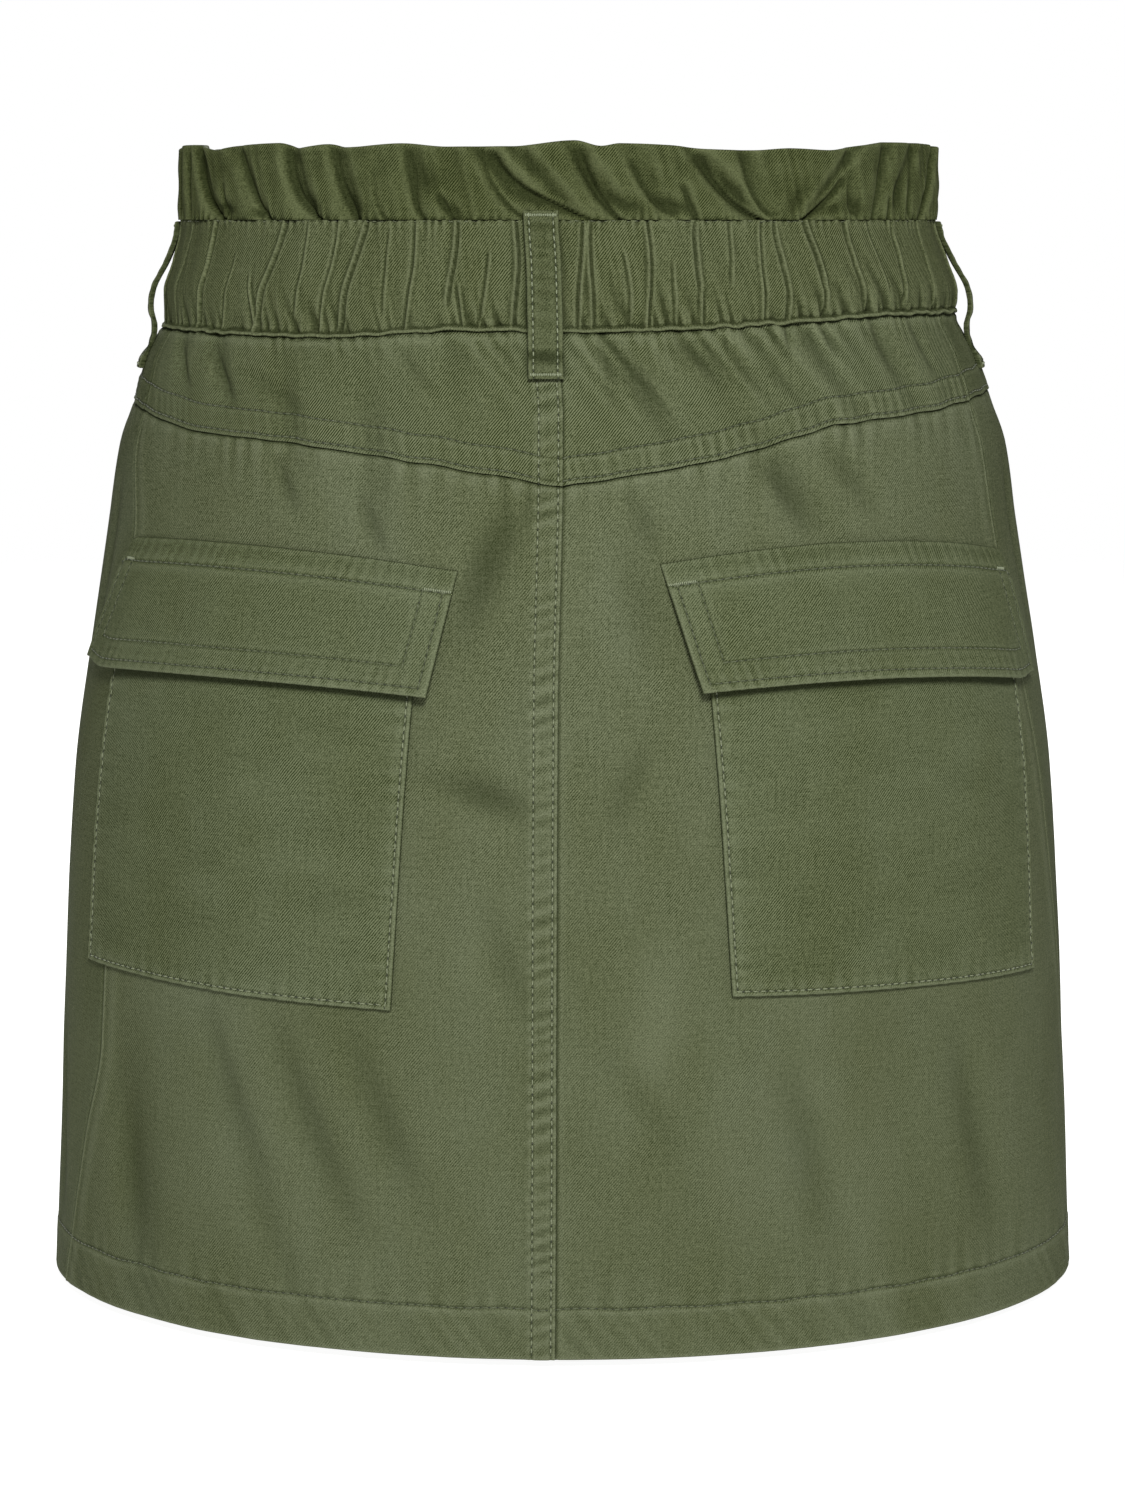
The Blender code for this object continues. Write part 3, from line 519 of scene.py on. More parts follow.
# %% Folds of the ruffle
RUFFLE_WALL = 2.0
RUFFLE_FULLNESS = 1.3
RUFFLE_FOLDS = table(
    "at_stitch at_top depth half_width",
    (-0.975, -0.96, 3, 7), (-0.915, -0.935, 3.6, 6.5), (-0.862, -0.85, 2.4, 7),
    (-0.806, -0.822, 4, 7.5), (-0.742, -0.76, 3, 6.5), (-0.69, -0.684, 2.2, 6),
    (-0.63, -0.655, 4.2, 7.5), (-0.57, -0.585, 3, 6.5), (-0.518, -0.525, 3.4, 6),
    (-0.467, -0.462, 2.6, 5), (-0.425, -0.43, 3.6, 5.5), (-0.367, -0.402, 4.4, 7),
    (-0.295, -0.335, 3.2, 6.5), (-0.244, -0.264, 4.2, 7), (-0.195, -0.214, 3.8, 6.5),
    (-0.132, -0.139, 2.8, 6.5), (-0.09, -0.104, 2, 6), (-0.03, -0.074, 3, 6),
    (0.016, -0.04, 4.4, 6.5), (0.06, 0.014, 4, 6.5), (0.104, 0.066, 2.6, 6.5),
    (0.188, 0.126, 4.6, 7.5), (0.202, 0.176, 2.4, 5.5), (0.244, 0.296, 4, 6.5),
    (0.296, 0.287, 1.6, 6), (0.325, 0.342, 3, 6.5), (0.35, 0.388, 3.2, 6), (0.412, 0.444, 4, 6.5),
    (0.47, 0.488, 3, 6), (0.53, 0.518, 3.6, 6.5), (0.588, 0.612, 3, 7), (0.645, 0.64, 4, 7),
    (0.702, 0.726, 2.6, 6.5), (0.768, 0.752, 3.8, 7.5), (0.83, 0.846, 2.8, 6.5),
    (0.884, 0.87, 3.6, 7), (0.94, 0.958, 3, 6.5))
RUFFLE_EDGE = table(
    "share rise",
    (-1, -0.8), (-0.9, -2), (-0.81, -0.4), (-0.72, -1.6), (-0.62, -0.2), (-0.55, -1.4),
    (-0.485, -0.9), (-0.438, 0), (-0.4, -0.3), (-0.367, -2.2), (-0.337, -1), (-0.277, -0.2),
    (-0.258, -2), (-0.223, -0.8), (-0.204, -1.9), (-0.148, -0.7), (-0.104, -1.9), (-0.043, -1.8),
    (0.015, 0.2), (0.039, -1.7), (0.057, -0.8), (0.103, -1.4), (0.141, -2.7), (0.184, -3),
    (0.224, -2.2), (0.266, -2.7), (0.293, -1.6), (0.345, 0.4), (0.395, 0.4), (0.466, -0.5),
    (0.54, -1.8), (0.62, -0.3), (0.7, -2), (0.79, -0.5), (0.88, -1.8), (1, -0.8))
FOLD_LINES = table(
    "stitch middle top depth soft begins ends side",
    (-0.476, -0.474, -0.47, 1.6, 2, 0, 1, 1), (-0.448, -0.452, -0.455, 2.2, 1.8, 0, 1, -1),
    (-0.424, -0.43, -0.432, 1.6, 1.8, 0, 1, 1), (-0.366, -0.392, -0.407, 3.2, 3.4, 0, 1, 1),
    (-0.35, -0.352, -0.352, 1.2, 3, 0, 0.5, -1), (-0.292, -0.312, -0.325, 2, 3.4, 0, 1, 1),
    (-0.24, -0.259, -0.266, 3, 5, 0, 1, 1), (-0.192, -0.207, -0.215, 2.6, 4, 0, 1, 1),
    (-0.168, -0.172, -0.174, 0.8, 3, 0, 0.7, 1), (-0.131, -0.136, -0.14, 1.5, 4, 0, 1, 1),
    (-0.097, -0.112, -0.118, 1.7, 2.6, 0, 0.34, -1), (-0.037, -0.058, -0.072, 1.5, 5, 0.05, 1, -1),
    (0.03, -0.03, -0.06, 3.3, 4.6, 0.06, 0.95, -1), (0.056, 0.034, 0.018, 2.6, 4, 0, 0.9, -1),
    (0.104, 0.08, 0.064, 1.5, 4, 0.1, 0.8, 1), (0.131, 0.118, 0.108, 1.8, 3.2, 0, 0.5, -1),
    (0.19, 0.154, 0.132, 3.4, 4.6, 0, 0.9, -1), (0.2, 0.184, 0.172, 1.5, 3.6, 0.1, 1, 1),
    (0.24, 0.276, 0.296, 2.8, 3.2, 0, 0.62, 1), (0.296, 0.292, 0.288, 1.3, 4, 0.1, 1, 1),
    (0.322, 0.333, 0.343, 2, 3.6, 0, 1, 1), (0.349, 0.346, 0.345, 1.6, 2.4, 0, 0.3, -1),
    (0.376, 0.383, 0.389, 1.8, 3, 0, 1, 1), (0.412, 0.434, 0.446, 2.4, 2.8, 0, 1, -1),
    (0.47, 0.476, 0.486, 2, 2.6, 0, 1, 1), (0.528, 0.52, 0.516, 2.6, 4, 0, 1, -1),
    (0.566, 0.572, 0.574, 1.3, 3, 0, 0.5, 1), (0.59, 0.604, 0.614, 2, 3.6, 0, 1, 1),
    (0.646, 0.64, 0.638, 2.8, 4.4, 0, 1, -1), (0.69, 0.716, 0.728, 2.2, 4, 0, 0.8, 1),
    (0.768, 0.757, 0.75, 2.6, 4.6, 0, 1, -1), (0.8, 0.798, 0.8, 1.4, 3, 0, 0.5, 1),
    (0.828, 0.84, 0.848, 2.2, 3.6, 0, 1, 1), (0.886, 0.874, 0.868, 2.6, 4, 0, 1, -1),
    (0.938, 0.95, 0.96, 2.4, 4.4, 0, 0.9, 1), (-0.976, -0.968, -0.958, 2.2, 3.6, 0, 1, -1),
    (-0.914, -0.926, -0.936, 2.6, 4.2, 0, 1, 1), (-0.884, -0.888, -0.89, 1.3, 3, 0, 0.5, -1),
    (-0.86, -0.852, -0.848, 1.8, 3.6, 0, 1, -1), (-0.804, -0.816, -0.824, 3, 4.4, 0, 1, 1),
    (-0.74, -0.752, -0.762, 2.2, 3.8, 0, 0.8, 1), (-0.692, -0.686, -0.684, 2, 3.2, 0, 1, -1),
    (-0.628, -0.646, -0.656, 3, 4.6, 0, 1, 1), (-0.6, -0.602, -0.6, 1.4, 3, 0, 0.5, -1),
    (-0.568, -0.578, -0.586, 2.4, 3.8, 0, 1, 1), (-0.516, -0.522, -0.526, 2.6, 3.4, 0, 1, -1))
HALF_WAY = 0.42


def between(ends, way):
    """A value part of the way from one end to the other."""
    return ends[0] + (ends[1] - ends[0]) * way


def beside(share, place):
    """Distance round the stitch line from a place, positive towards +X."""
    return wrap(share - place) * half_girth(STITCH_LINE)


def broad_waves(share, way_up):
    """The pipes of the ruffle, seen from far: troughs between full waves."""
    trough = np.zeros_like(share)
    for row in rows_of(RUFFLE_FOLDS):
        aside = beside(share, between((row["at_stitch"], row["at_top"]), way_up))
        across = np.cos(np.clip(aside / row["half_width"], -1.0, 1.0) * np.pi / 2) ** 2
        trough = np.maximum(trough, row["depth"] * across)
    return trough


def fine_folds(share, way_up):
    """The creases between the pipes: steep on one side, soft on the other, hooked at the foot."""
    at_foot = (way_up - HALF_WAY) * (way_up - 1.0) / HALF_WAY
    at_middle = way_up * (way_up - 1.0) / (HALF_WAY * (HALF_WAY - 1.0))
    at_top = way_up * (way_up - HALF_WAY) / (1.0 - HALF_WAY)
    spread = 1.0 + 1.3 * way_up
    valley = np.zeros_like(share)
    for i, row in enumerate(rows_of(FOLD_LINES)):
        place = row["stitch"] * at_foot + row["middle"] * at_middle + row["top"] * at_top
        place = place + (0.004 + 0.006 * math.sin(2.3 * i + 1.0)) * np.exp(-way_up / 0.12)
        aside = beside(share, place) * row["side"]
        soft = 0.55 * np.exp(-np.maximum(aside, 0.0) / (row["soft"] * spread))
        soft = soft + 0.45 * groove(aside, 1.1 * spread)
        across = np.where(aside > 0.0, soft, groove(aside, spread))
        fade = ease((way_up - row["begins"]) / 0.12 + 0.8)
        fade = fade * ease((row["ends"] - way_up) / 0.25 + 0.5)
        valley = np.maximum(valley, row["depth"] * fade * across * (1.0 - 0.45 * way_up))
    return valley


def ruffle_lift(share, way_up):
    """How far the ruffle stands out or in."""
    growth = 0.45 + 0.55 * np.sin(np.clip(way_up * 2.4, 0.0, 1.0) * np.pi / 2)
    waves = (RUFFLE_FULLNESS - 0.50 * broad_waves(share, way_up)) * growth
    return waves + 0.3 - fine_folds(share, way_up)


RUFFLE_HOLLOWS = table(
    "share way_up depth wide tall lean",
    (-0.35, 0.15, 1.5, 5, 3, 0.3), (-0.3, 0.08, 1.3, 3.5, 2.4, 0.4), (-0.243, 0.2, 1.6, 3, 5, 0.2),
    (-0.2, 0.19, 1.4, 3.5, 6, 0.2), (-0.123, 0.56, 1.3, 6.5, 7.5, 0.4),
    (-0.099, 0.14, 1.5, 3, 4.5, 0.5), (-0.048, 0.62, 1.2, 4, 9, 0.8),
    (-0.02, 0.28, 1.6, 6, 4.5, 0.9), (0.028, 0.55, 1.2, 3.5, 8, 0.7),
    (0.06, 0.22, 1.4, 6.5, 4, 0.9), (0.104, 0.2, 1.3, 6.5, 3.5, 0.8), (0.17, 0.34, 1.4, 4, 8, 0.7),
    (0.232, 0.3, 1.2, 3.5, 6, -0.3), (0.268, 0.16, 1.3, 5.5, 3.2, -0.5),
    (0.3, 0.18, 1, 3.5, 4, 0.2), (0.366, 0.3, 1.2, 3.5, 7, 0), (0.6, 0.2, 1.3, 4.5, 4.5, 0.4),
    (0.735, 0.26, 1.3, 5.5, 4, -0.5), (0.905, 0.22, 1.3, 4, 5.5, 0.4),
    (-0.6, 0.2, 1.3, 4.5, 4.5, 0.4), (-0.77, 0.28, 1.3, 5, 5.5, -0.4),
    (-0.945, 0.18, 1.3, 5, 3.5, 0.5), (-0.68, 0.6, 1, 5, 8, 0.4), (0.68, 0.6, 1, 5, 8, 0.4))


def ruffle_hollows(share, way_up, tall):
    """Dents where the gathered cloth is pinched near the stitch line."""
    depth = np.zeros_like(share)
    for row in rows_of(RUFFLE_HOLLOWS):
        above = (way_up - row["way_up"]) * tall
        aside = beside(share, row["share"]) + row["lean"] * above
        depth += row["depth"] * np.exp(-(aside / row["wide"]) ** 2 - (above / row["tall"]) ** 2)
    return depth

# %% Sew the ruffle: up the outside, over its folded top and down the inside
BACK_SHARE = 0.56
BACK_COLUMNS = 1140
FRONT_COLUMNS = 420
ROLL_STEPS = 6
INSIDE_ROWS = 12


def ring_shares():
    """Shares of the columns of a ring, closer together round the back, where the work shows."""
    back = np.linspace(-BACK_SHARE, BACK_SHARE, BACK_COLUMNS + 1)[:-1]
    front = np.linspace(BACK_SHARE, 2.0 - BACK_SHARE, FRONT_COLUMNS + 1)[:-1]
    return np.concatenate([back, front])


def sew_ruffle():
    """One sheet that goes up, over and down again, so its rows run right round the fold."""
    tall = RUFFLE_TOP - STITCH_LINE
    radius = RUFFLE_WALL / 2.0
    rows = [(way, 0.0, 0.0) for way in 1.0 - spaced(tall, 0.8, per=1)[::-1]]
    rows += [(1.0, radius * (1.0 - math.cos(turn)), 0.6 * radius * math.sin(turn))
             for turn in np.linspace(0.0, np.pi, ROLL_STEPS + 1)[1:-1]]
    rows += [(way, RUFFLE_WALL, 0.0) for way in np.linspace(1.0, 0.0, INSIDE_ROWS)]
    way_up, inward, above = (np.array(column)[::-1, None] for column in zip(*rows))
    share = ring_shares()
    along = share * half_girth(STITCH_LINE)
    rise = curve(RUFFLE_EDGE, "rise", wrap(share), key="share")
    share, way_up = np.broadcast_arrays(share, way_up)
    above_stitch = way_up * tall
    hollows = ruffle_hollows(share, way_up, tall)
    lift = ruffle_lift(share, way_up) - 1.1 * hollows
    lift = lift + 0.60 * puckers(along, above_stitch, 3.7, 3.4, 21)
    lift = lift + 0.16 * ripple(along + 6.0 * way_up, 5.3, 24)
    lift = lift + 0.30 * ripple(along, 13.0, 26) * way_up
    lift = lift + 0.50 * uneven(share, above_stitch, 11.0, 8.0, 27)
    lift = lift - 0.18 * groove(above_stitch, 1.0)
    height = STITCH_LINE + (tall - 0.6 * radius + rise) * way_up + above
    ids = np.pad(np.arange(share.size).reshape(share.shape), ((0, 1), (0, 1)), mode="wrap")
    cloth_at = cloth_place(share, height + 2.0 * (inward > radius) * (RUFFLE_TOP - height))
    # The folded top and the ridges rub paler; valleys, hollows and fold lines are painted darker as
    # shade.
    wear_and_shade = 0.3 * groove(way_up - 1.0, 0.03) + rubbed_and_shaded(lift, step=0.35)
    wear_and_shade = wear_and_shade + rubbed_and_shaded(lift, step=1.8, times=40)
    wear_and_shade = wear_and_shade - 0.40 * hollows - 0.38 * fine_folds(share, way_up)
    make_mesh("ruffle", body(share, height, lift - inward), face_rows(ids[::-1]), cloth_at, wear_and_shade,
              steepness(lift, share, height))


sew_ruffle()

# %% [markdown]
# ## The elastic waistband
# A 4 cm elastic runs inside a casing of the same twill. The cloth is longer than the elastic, so
# it lies in gathers. The long ones run from the stitch line to the seam, each a fine dark line
# with a rounded ridge on one side. Many short ones start at the two seams and die out. Along
# the lower edge the seam allowance is folded into a thin roll, like a bead.

# %% Gathers of the waistband
WAISTBAND_WALL = 3.2
BAND_GATHERS = table(
    "at_stitch at_seam depth begins ends ridge",
    (-0.96, -0.952, 1.1, 0, 1, 1), (-0.905, -0.91, 0.8, 0, 0.7, -1), (-0.845, -0.838, 1.2, 0, 1, 1),
    (-0.781, -0.786, 0.9, 0.2, 1, -1), (-0.715, -0.72, 1.1, 0, 1, 1),
    (-0.664, -0.655, 0.8, 0, 0.8, -1), (-0.602, -0.61, 1.2, 0, 1, 1),
    (-0.556, -0.548, 0.8, 0.3, 1, 1), (-0.47, -0.474, 0.9, 0, 1, -1), (-0.42, -0.426, 0.7, 0, 1, 1),
    (-0.364, -0.372, 1.2, 0, 1, -1), (-0.33, -0.335, 0.5, 0.3, 1, 1),
    (-0.27, -0.291, 1.4, 0, 1, -1), (-0.312, -0.297, 0.9, 0.5, 1, 1),
    (-0.243, -0.252, 0.5, 0, 0.8, 1), (-0.213, -0.222, 1.3, 0, 1, 1),
    (-0.182, -0.202, 1.5, 0, 1, -1), (-0.158, -0.163, 0.4, 0.1, 0.8, 1),
    (-0.133, -0.14, 1, 0, 1, 1), (-0.094, -0.099, 1.2, 0, 0.75, -1),
    (-0.096, -0.089, 0.9, 0.6, 1, 1), (-0.06, -0.075, 0.6, 0.3, 1, 1),
    (-0.038, -0.039, 1.2, 0, 1, -1), (0.021, 0.015, 1.1, 0, 1, 1), (0.031, 0.028, 1, 0, 1, -1),
    (0.056, 0.06, 0.5, 0.3, 1, 1), (0.083, 0.08, 1.3, 0, 1, -1), (0.104, 0.1, 0.5, 0.4, 1, 1),
    (0.129, 0.12, 1.2, 0, 0.8, 1), (0.118, 0.13, 0.8, 0.6, 1, -1), (0.16, 0.15, 0.5, 0, 0.6, 1),
    (0.194, 0.184, 1.1, 0, 1, -1), (0.209, 0.206, 0.9, 0, 1, 1), (0.24, 0.249, 1.5, 0, 0.8, 1),
    (0.262, 0.245, 0.9, 0.6, 1, -1), (0.286, 0.29, 0.9, 0, 0.9, 1), (0.318, 0.324, 0.5, 0, 0.7, -1),
    (0.35, 0.344, 0.8, 0.1, 1, 1), (0.402, 0.398, 0.8, 0, 1, -1), (0.462, 0.468, 0.9, 0, 1, 1),
    (0.548, 0.54, 0.9, 0, 1, -1), (0.611, 0.62, 1.2, 0, 1, 1), (0.668, 0.662, 0.8, 0.2, 1, -1),
    (0.729, 0.735, 1.1, 0, 1, 1), (0.786, 0.78, 0.9, 0, 0.8, -1), (0.851, 0.858, 1.2, 0, 1, 1),
    (0.903, 0.898, 0.8, 0.3, 1, -1), (0.962, 0.955, 1, 0, 1, 1))
BEAD_WIDTH = 1.4
BEAD_RISE = 0.65
BEAD_FOOT = 0.25


def gather_lift(share, way_down):
    """Relief of the long gathers: a line that dips in beside a ridge that stands out."""
    lift = np.zeros_like(share)
    for i, row in enumerate(rows_of(BAND_GATHERS)):
        place = between((row["at_stitch"], row["at_seam"]), way_down)
        place = place + 0.0016 * np.sin(5.0 * way_down + 1.7 * i)
        aside = wrap(share - place) * half_girth(0.0)
        fade = ease((way_down - row["begins"]) / 0.18 + 0.5)
        fade = fade * ease((row["ends"] - way_down) / 0.18 + 0.5)
        shape = 0.62 * groove(aside - row["ridge"], 0.62) - 0.70 * groove(aside, 0.52)
        shape = shape - 0.28 * groove(aside + 3.0 * row["ridge"], 4.5)
        lift += 1.15 * row["depth"] * fade * shape
    return lift

# %% Where the centre belt loop lies
LOOP_WIDTH = 12.0
LOOP_TOP = 23.0
LOOP_FOOT = -34.0
CENTRE_LOOP = (-0.0155, -0.0120)


def loop_middle(ends, height):
    """Share of the middle of a loop, from its share at the top and at the foot."""
    return between(ends, (LOOP_TOP - height) / (LOOP_TOP - LOOP_FOOT))


def shade_beside_loop(share, height):
    """Painted shade along the centre loop's edges, where the loop stands off the cloth."""
    aside = np.abs(share - loop_middle(CENTRE_LOOP, height)) * half_girth(height) - 0.5 * LOOP_WIDTH
    along_loop = ease((LOOP_TOP - height) / 3.0 + 0.5) * ease((height - LOOP_FOOT) / 2.0 + 0.5)
    return 0.9 * groove(aside - 0.2, 1.2) * along_loop

# %% Sew the waistband
def sew_waistband():
    """The gathered casing, with its lower edge turned into a bead."""
    above_bead, turned = 32.0, 5.6
    upper = spaced(above_bead, 0.95, per=1) * above_bead
    lower = above_bead + np.linspace(0.35, turned, 17)
    down = np.concatenate([upper, lower]) / (above_bead + turned)
    down, share = np.meshgrid(down, ring_shares(), indexing="ij")
    along = share * half_girth(0.0)
    seam = seam_height(WAIST_SEAM, share) + 0.28 * ripple(along, 9.0, 31)
    height = STITCH_LINE + (seam - STITCH_LINE) * down
    above_seam, below_stitch = height - seam, STITCH_LINE - height
    cones = 1.8 * pinched(along + 0.25 * above_seam, above_seam - 1.6, 4.8, 4.5, 33)
    cones = cones + 1.5 * pinched(along + 0.40 * above_seam, above_seam - 2.0, 10.0, 11.0, 34)
    cones = cones * (0.8 + 0.5 * drift(along / 23.0, 32))
    lift = gather_lift(share, down) + cones + 0.50 * puckers(along, below_stitch, 3.7, 2.8, 36)
    lift = lift + 0.14 * ripple(along + 0.12 * height, 11.5, 37)
    lift = lift + 0.05 * ripple(along + 0.15 * height, 2.9, 39)
    lift = lift + 0.35 * uneven(share, height, 17.0, 24.0, 38)
    lift = lift - 0.15 * groove(below_stitch, 0.9)
    lift = lift - 0.18 * groove(above_seam - BEAD_WIDTH - 0.4, 0.6)
    bead_middle = above_seam - 0.5 * BEAD_WIDTH
    bead = np.sqrt(np.clip(1.0 - (2.0 * bead_middle / BEAD_WIDTH) ** 2, 0.0, 1.0))
    full = 1.0 + 0.45 * ripple(along + 0.6 * above_seam, 2.1, 41) + 0.40 * ripple(along, 6.0, 43)
    full = (BEAD_RISE * full + BEAD_FOOT) * (1.0 - 0.6 * groove(np.abs(share) - 0.5, 0.035))
    in_bead = ease((BEAD_WIDTH + 0.3 - above_seam) / 0.6)
    lift = lift * (1.0 - in_bead) + in_bead * (full * bead - BEAD_FOOT)
    # The bead rubs paler; the valleys between the cones, the gathers' lines and the centre loop's
    # edges are painted darker as shade.
    wear_and_shade = 0.15 * bead * in_bead + 0.45 * cones * (1.0 - in_bead) - shade_beside_loop(share, height)
    wear_and_shade = wear_and_shade + 0.5 * rubbed_and_shaded(lift, step=0.25, times=6)
    sew("waistband", share, height, lift, -WAISTBAND_WALL, wear_and_shade, creased=False, ring=True)


sew_waistband()

# %% [markdown]
# ## Yokes and panels
# The yoke is the shaped band under the waist. Its lower edge is folded under, laid over the
# panel and stitched down twice: close to the fold and again about 9 mm above it. The layers
# between the two rows of stitches make that strip stand up slightly, and each row draws the
# cloth in. The panels hang from the yoke to a hem that is turned up 2 cm.

# %% Strips that are stitched down
CLOTH = 1.5
HEM_WALL = 2.5
HEM_STITCH = 18.4
EDGE_ROW = 1.7
SECOND_ROW = 9.3
LAP_RISE = 0.60
ROW_DEPTH = 0.42


def two_rows(away):
    """The valleys of the two rows of stitches, by distance in from a folded edge."""
    return groove(away - EDGE_ROW, 0.5) + groove(away - SECOND_ROW, 0.5)


def stitched_strip(away, along):
    """Lift of a folded edge with two rows of stitches, by distance in from the edge."""
    strip = ease((SECOND_ROW + 1.6 - away) / 3.2)
    lift = LAP_RISE * strip - ROW_DEPTH * two_rows(away)
    return lift + 0.17 * strip * ripple(along + 0.2 * away, 4.7, 53) - rolled(away, 0.55)


def below_waist(share, height):
    """Tucks and puckers of the cloth that hangs from the waistband's bead."""
    away = seam_height(WAIST_SEAM, share) - height
    along = share * half_girth(height)
    tuck = -0.95 * groove(away, 1.0)
    fine = 0.42 * puckers(along - 0.2 * away, away, 4.8, 4.0, 51)
    fine = fine + 0.35 * uneven(share, height, 13.0, 34.0, 58)
    busy = np.clip(0.35 + 0.9 * drift(along / 38.0, 57), 0.0, 1.0)
    busy = busy + 0.9 * ease((share - 0.01) / 0.03) * ease((0.33 - share) / 0.05)
    slanted = 0.45 * puckers(along - 0.80 * away, away, 8.0, 12.0, 54)
    slanted = slanted + 0.40 * puckers(along - 0.70 * away, away, 17.0, 24.0, 59)
    return tuck + fine + busy * slanted

# %% The lapped seam down the centre back
FELLED_WIDTH = 9.4
FELLED_RISE = 0.35
FELLED_ROWS = (1.6, 8.3)


def left_of_back(share, height):
    """Distance to the left of the centre back line."""
    return (seam_share(CENTRE_BACK, height) - share) * half_girth(height)


def felled_lift(share, height):
    """Rise of the lapped seam, which lies to the left of the centre back line."""
    away = left_of_back(share, height)
    strip = ease((FELLED_WIDTH + 2.4 - away) / 4.0)
    lift = FELLED_RISE * strip - rolled(away, 0.5)
    for row in FELLED_ROWS:
        lift = lift - 0.9 * ROW_DEPTH * groove(away - row, 0.5)
    return lift + 0.24 * strip * ripple(height + 0.3 * away, 6.0, 61)


def at_centre_back(lift, wear_and_shade, share, height, felled):
    """Add the lapped seam, whose ridge rubs paler, or the line pressed in to the right of it, which
    is painted darker as shade.
    """
    if felled:
        wear_and_shade = wear_and_shade + 0.2 * groove(left_of_back(share, height) - 0.5, 0.6)
        return lift + felled_lift(share, height), wear_and_shade
    away = wrap(share - seam_share(CENTRE_BACK, height)) * half_girth(height)
    pressed = groove(away - 0.2, 0.8)
    return lift - 0.30 * pressed, wear_and_shade - 0.5 * pressed

# %% Sew the yokes
def past_sides(share, height):
    """Distance past each side seam: below 0 on the back piece, above 0 on the front piece."""
    return [side * wrap(share - seam_share(seam, height)) * half_girth(height)
            for seam, side in ((LEFT_SIDE, -1.0), (RIGHT_SIDE, 1.0))]


def side_seams(share, height):
    """The side seams: a sharp ridge on the back piece, and the front piece sunk beside it."""
    lift = 0.0
    for away in past_sides(share, height):
        lift = lift + 0.42 * groove(away + 0.7, 0.8) - 0.45 * groove(away - 0.4, 0.9)
        lift = lift + 0.25 * groove(away + 6.0, 4.0)
    return lift


def side_wear_and_shade(share, height):
    """The ridge of a side seam rubs paler; the front piece beside it is painted darker as shade,
    near the seam and faintly round the side.
    """
    wear_and_shade = 0.0
    for away in past_sides(share, height):
        near, far = np.exp(-np.abs(away) / 6.0), np.exp(-np.abs(away) / 40.0)
        wear_and_shade = wear_and_shade + 0.30 * groove(away + 0.7, 0.8) - (away > 0.0) * (0.40 * near + 0.15 * far)
    return wear_and_shade


def along_seam(seam):
    """A top or bottom edge that follows a level seam."""
    return lambda share: seam_height(seam, share)


def yoke_lift(share, height):
    """Lift of any yoke: puckers below the waist and a stitched strip along its lower edge."""
    above = height - seam_height(YOKE_SEAM, share)
    strip = stitched_strip(above, share * half_girth(height))
    return below_waist(share, height) + strip + side_seams(share, height)


def yoke_wear_and_shade(share, height):
    """The fold along the lower edge rubs paler, and the rows of stitches are painted darker as
    shade.
    """
    above = height - seam_height(YOKE_SEAM, share)
    return 0.3 * groove(above - 0.4, 0.6) - 0.45 * two_rows(above) + side_wear_and_shade(share, height)


def pressed_flatter(lift):
    """Puckers beside the lapped seam, whose layers press flatter what stands out."""
    return np.maximum(lift, 0.0) * 0.5 + np.minimum(lift, 0.0)


def columns(width, pitch, felled):
    """Steps across a yoke or a panel, finer beside its upright seams."""
    if not felled:
        return steps((3.0, 0.5), (width - 6.0, pitch), (3.0, 0.5))
    return steps((3.0, 0.5), (width - 15.0, pitch), (11.0, 0.45), (0.65, 0.33), (0.35, 0.12))


def sew_yoke(name, first, last, width, pitch, felled):
    """One yoke between two upright edges."""
    down = steps((30.0, 1.0), (15.0, 0.42), (1.0, 0.15))
    share, height = panel_grid(columns(width, pitch, felled), down, first, last,
                               along_seam(WAIST_SEAM), along_seam(YOKE_SEAM))
    # The lower fold rubs paler; the stitch rows and the centre loop's edges are painted darker as
    # shade.
    lift, wear_and_shade = yoke_lift(share, height), yoke_wear_and_shade(share, height) - shade_beside_loop(share, height)
    lift = pressed_flatter(lift) if felled else lift
    lift, wear_and_shade = at_centre_back(lift, wear_and_shade, share, height, felled)
    sew(name, share, height, lift, -CLOTH, wear_and_shade)


at_left, at_back, at_right = edge(LEFT_SIDE), edge(CENTRE_BACK), edge(RIGHT_SIDE)
round_to_left = edge(LEFT_SIDE, 2.0)
sew_yoke("back_yoke_left", at_left, at_back, 168.0, 0.9, True)
sew_yoke("back_yoke_right", at_back, at_right, 166.0, 0.9, False)
sew_yoke("front_yoke", at_right, round_to_left, 470.0, 2.4, False)

# %% Lift of the panels
def hem_line(along):
    """How far the hem's stitches lie above its edge, with a little wandering."""
    return HEM_STITCH + 0.35 * ripple(along, 26.0, 73)


def panel_lift(share, height):
    """Lift of any panel: drawn in below the yoke and along the hem's stitches."""
    along = share * half_girth(height)
    below_yoke = seam_height(YOKE_SEAM, share) - height
    lift = -0.75 * groove(below_yoke, 0.9) + 0.35 * puckers(along, below_yoke, 8.5, 8.0, 71)
    above_hem = height - HEM
    line = hem_line(along)
    in_hem = ease((line + 0.5 - above_hem) / 1.4)
    lift = lift + 0.28 * in_hem - 0.36 * groove(above_hem - line, 0.65)
    lift = lift + in_hem * (0.06 * ripple(along + 0.8 * above_hem, 9.0, 75)
                            + 0.15 * ripple(along + 0.5 * above_hem, 31.0, 79))
    lift = lift + 0.15 * puckers(along, above_hem - line, 9.0, 8.0, 77) * (1.0 - in_hem)
    return lift - rolled(above_hem, 0.9) + side_seams(share, height)


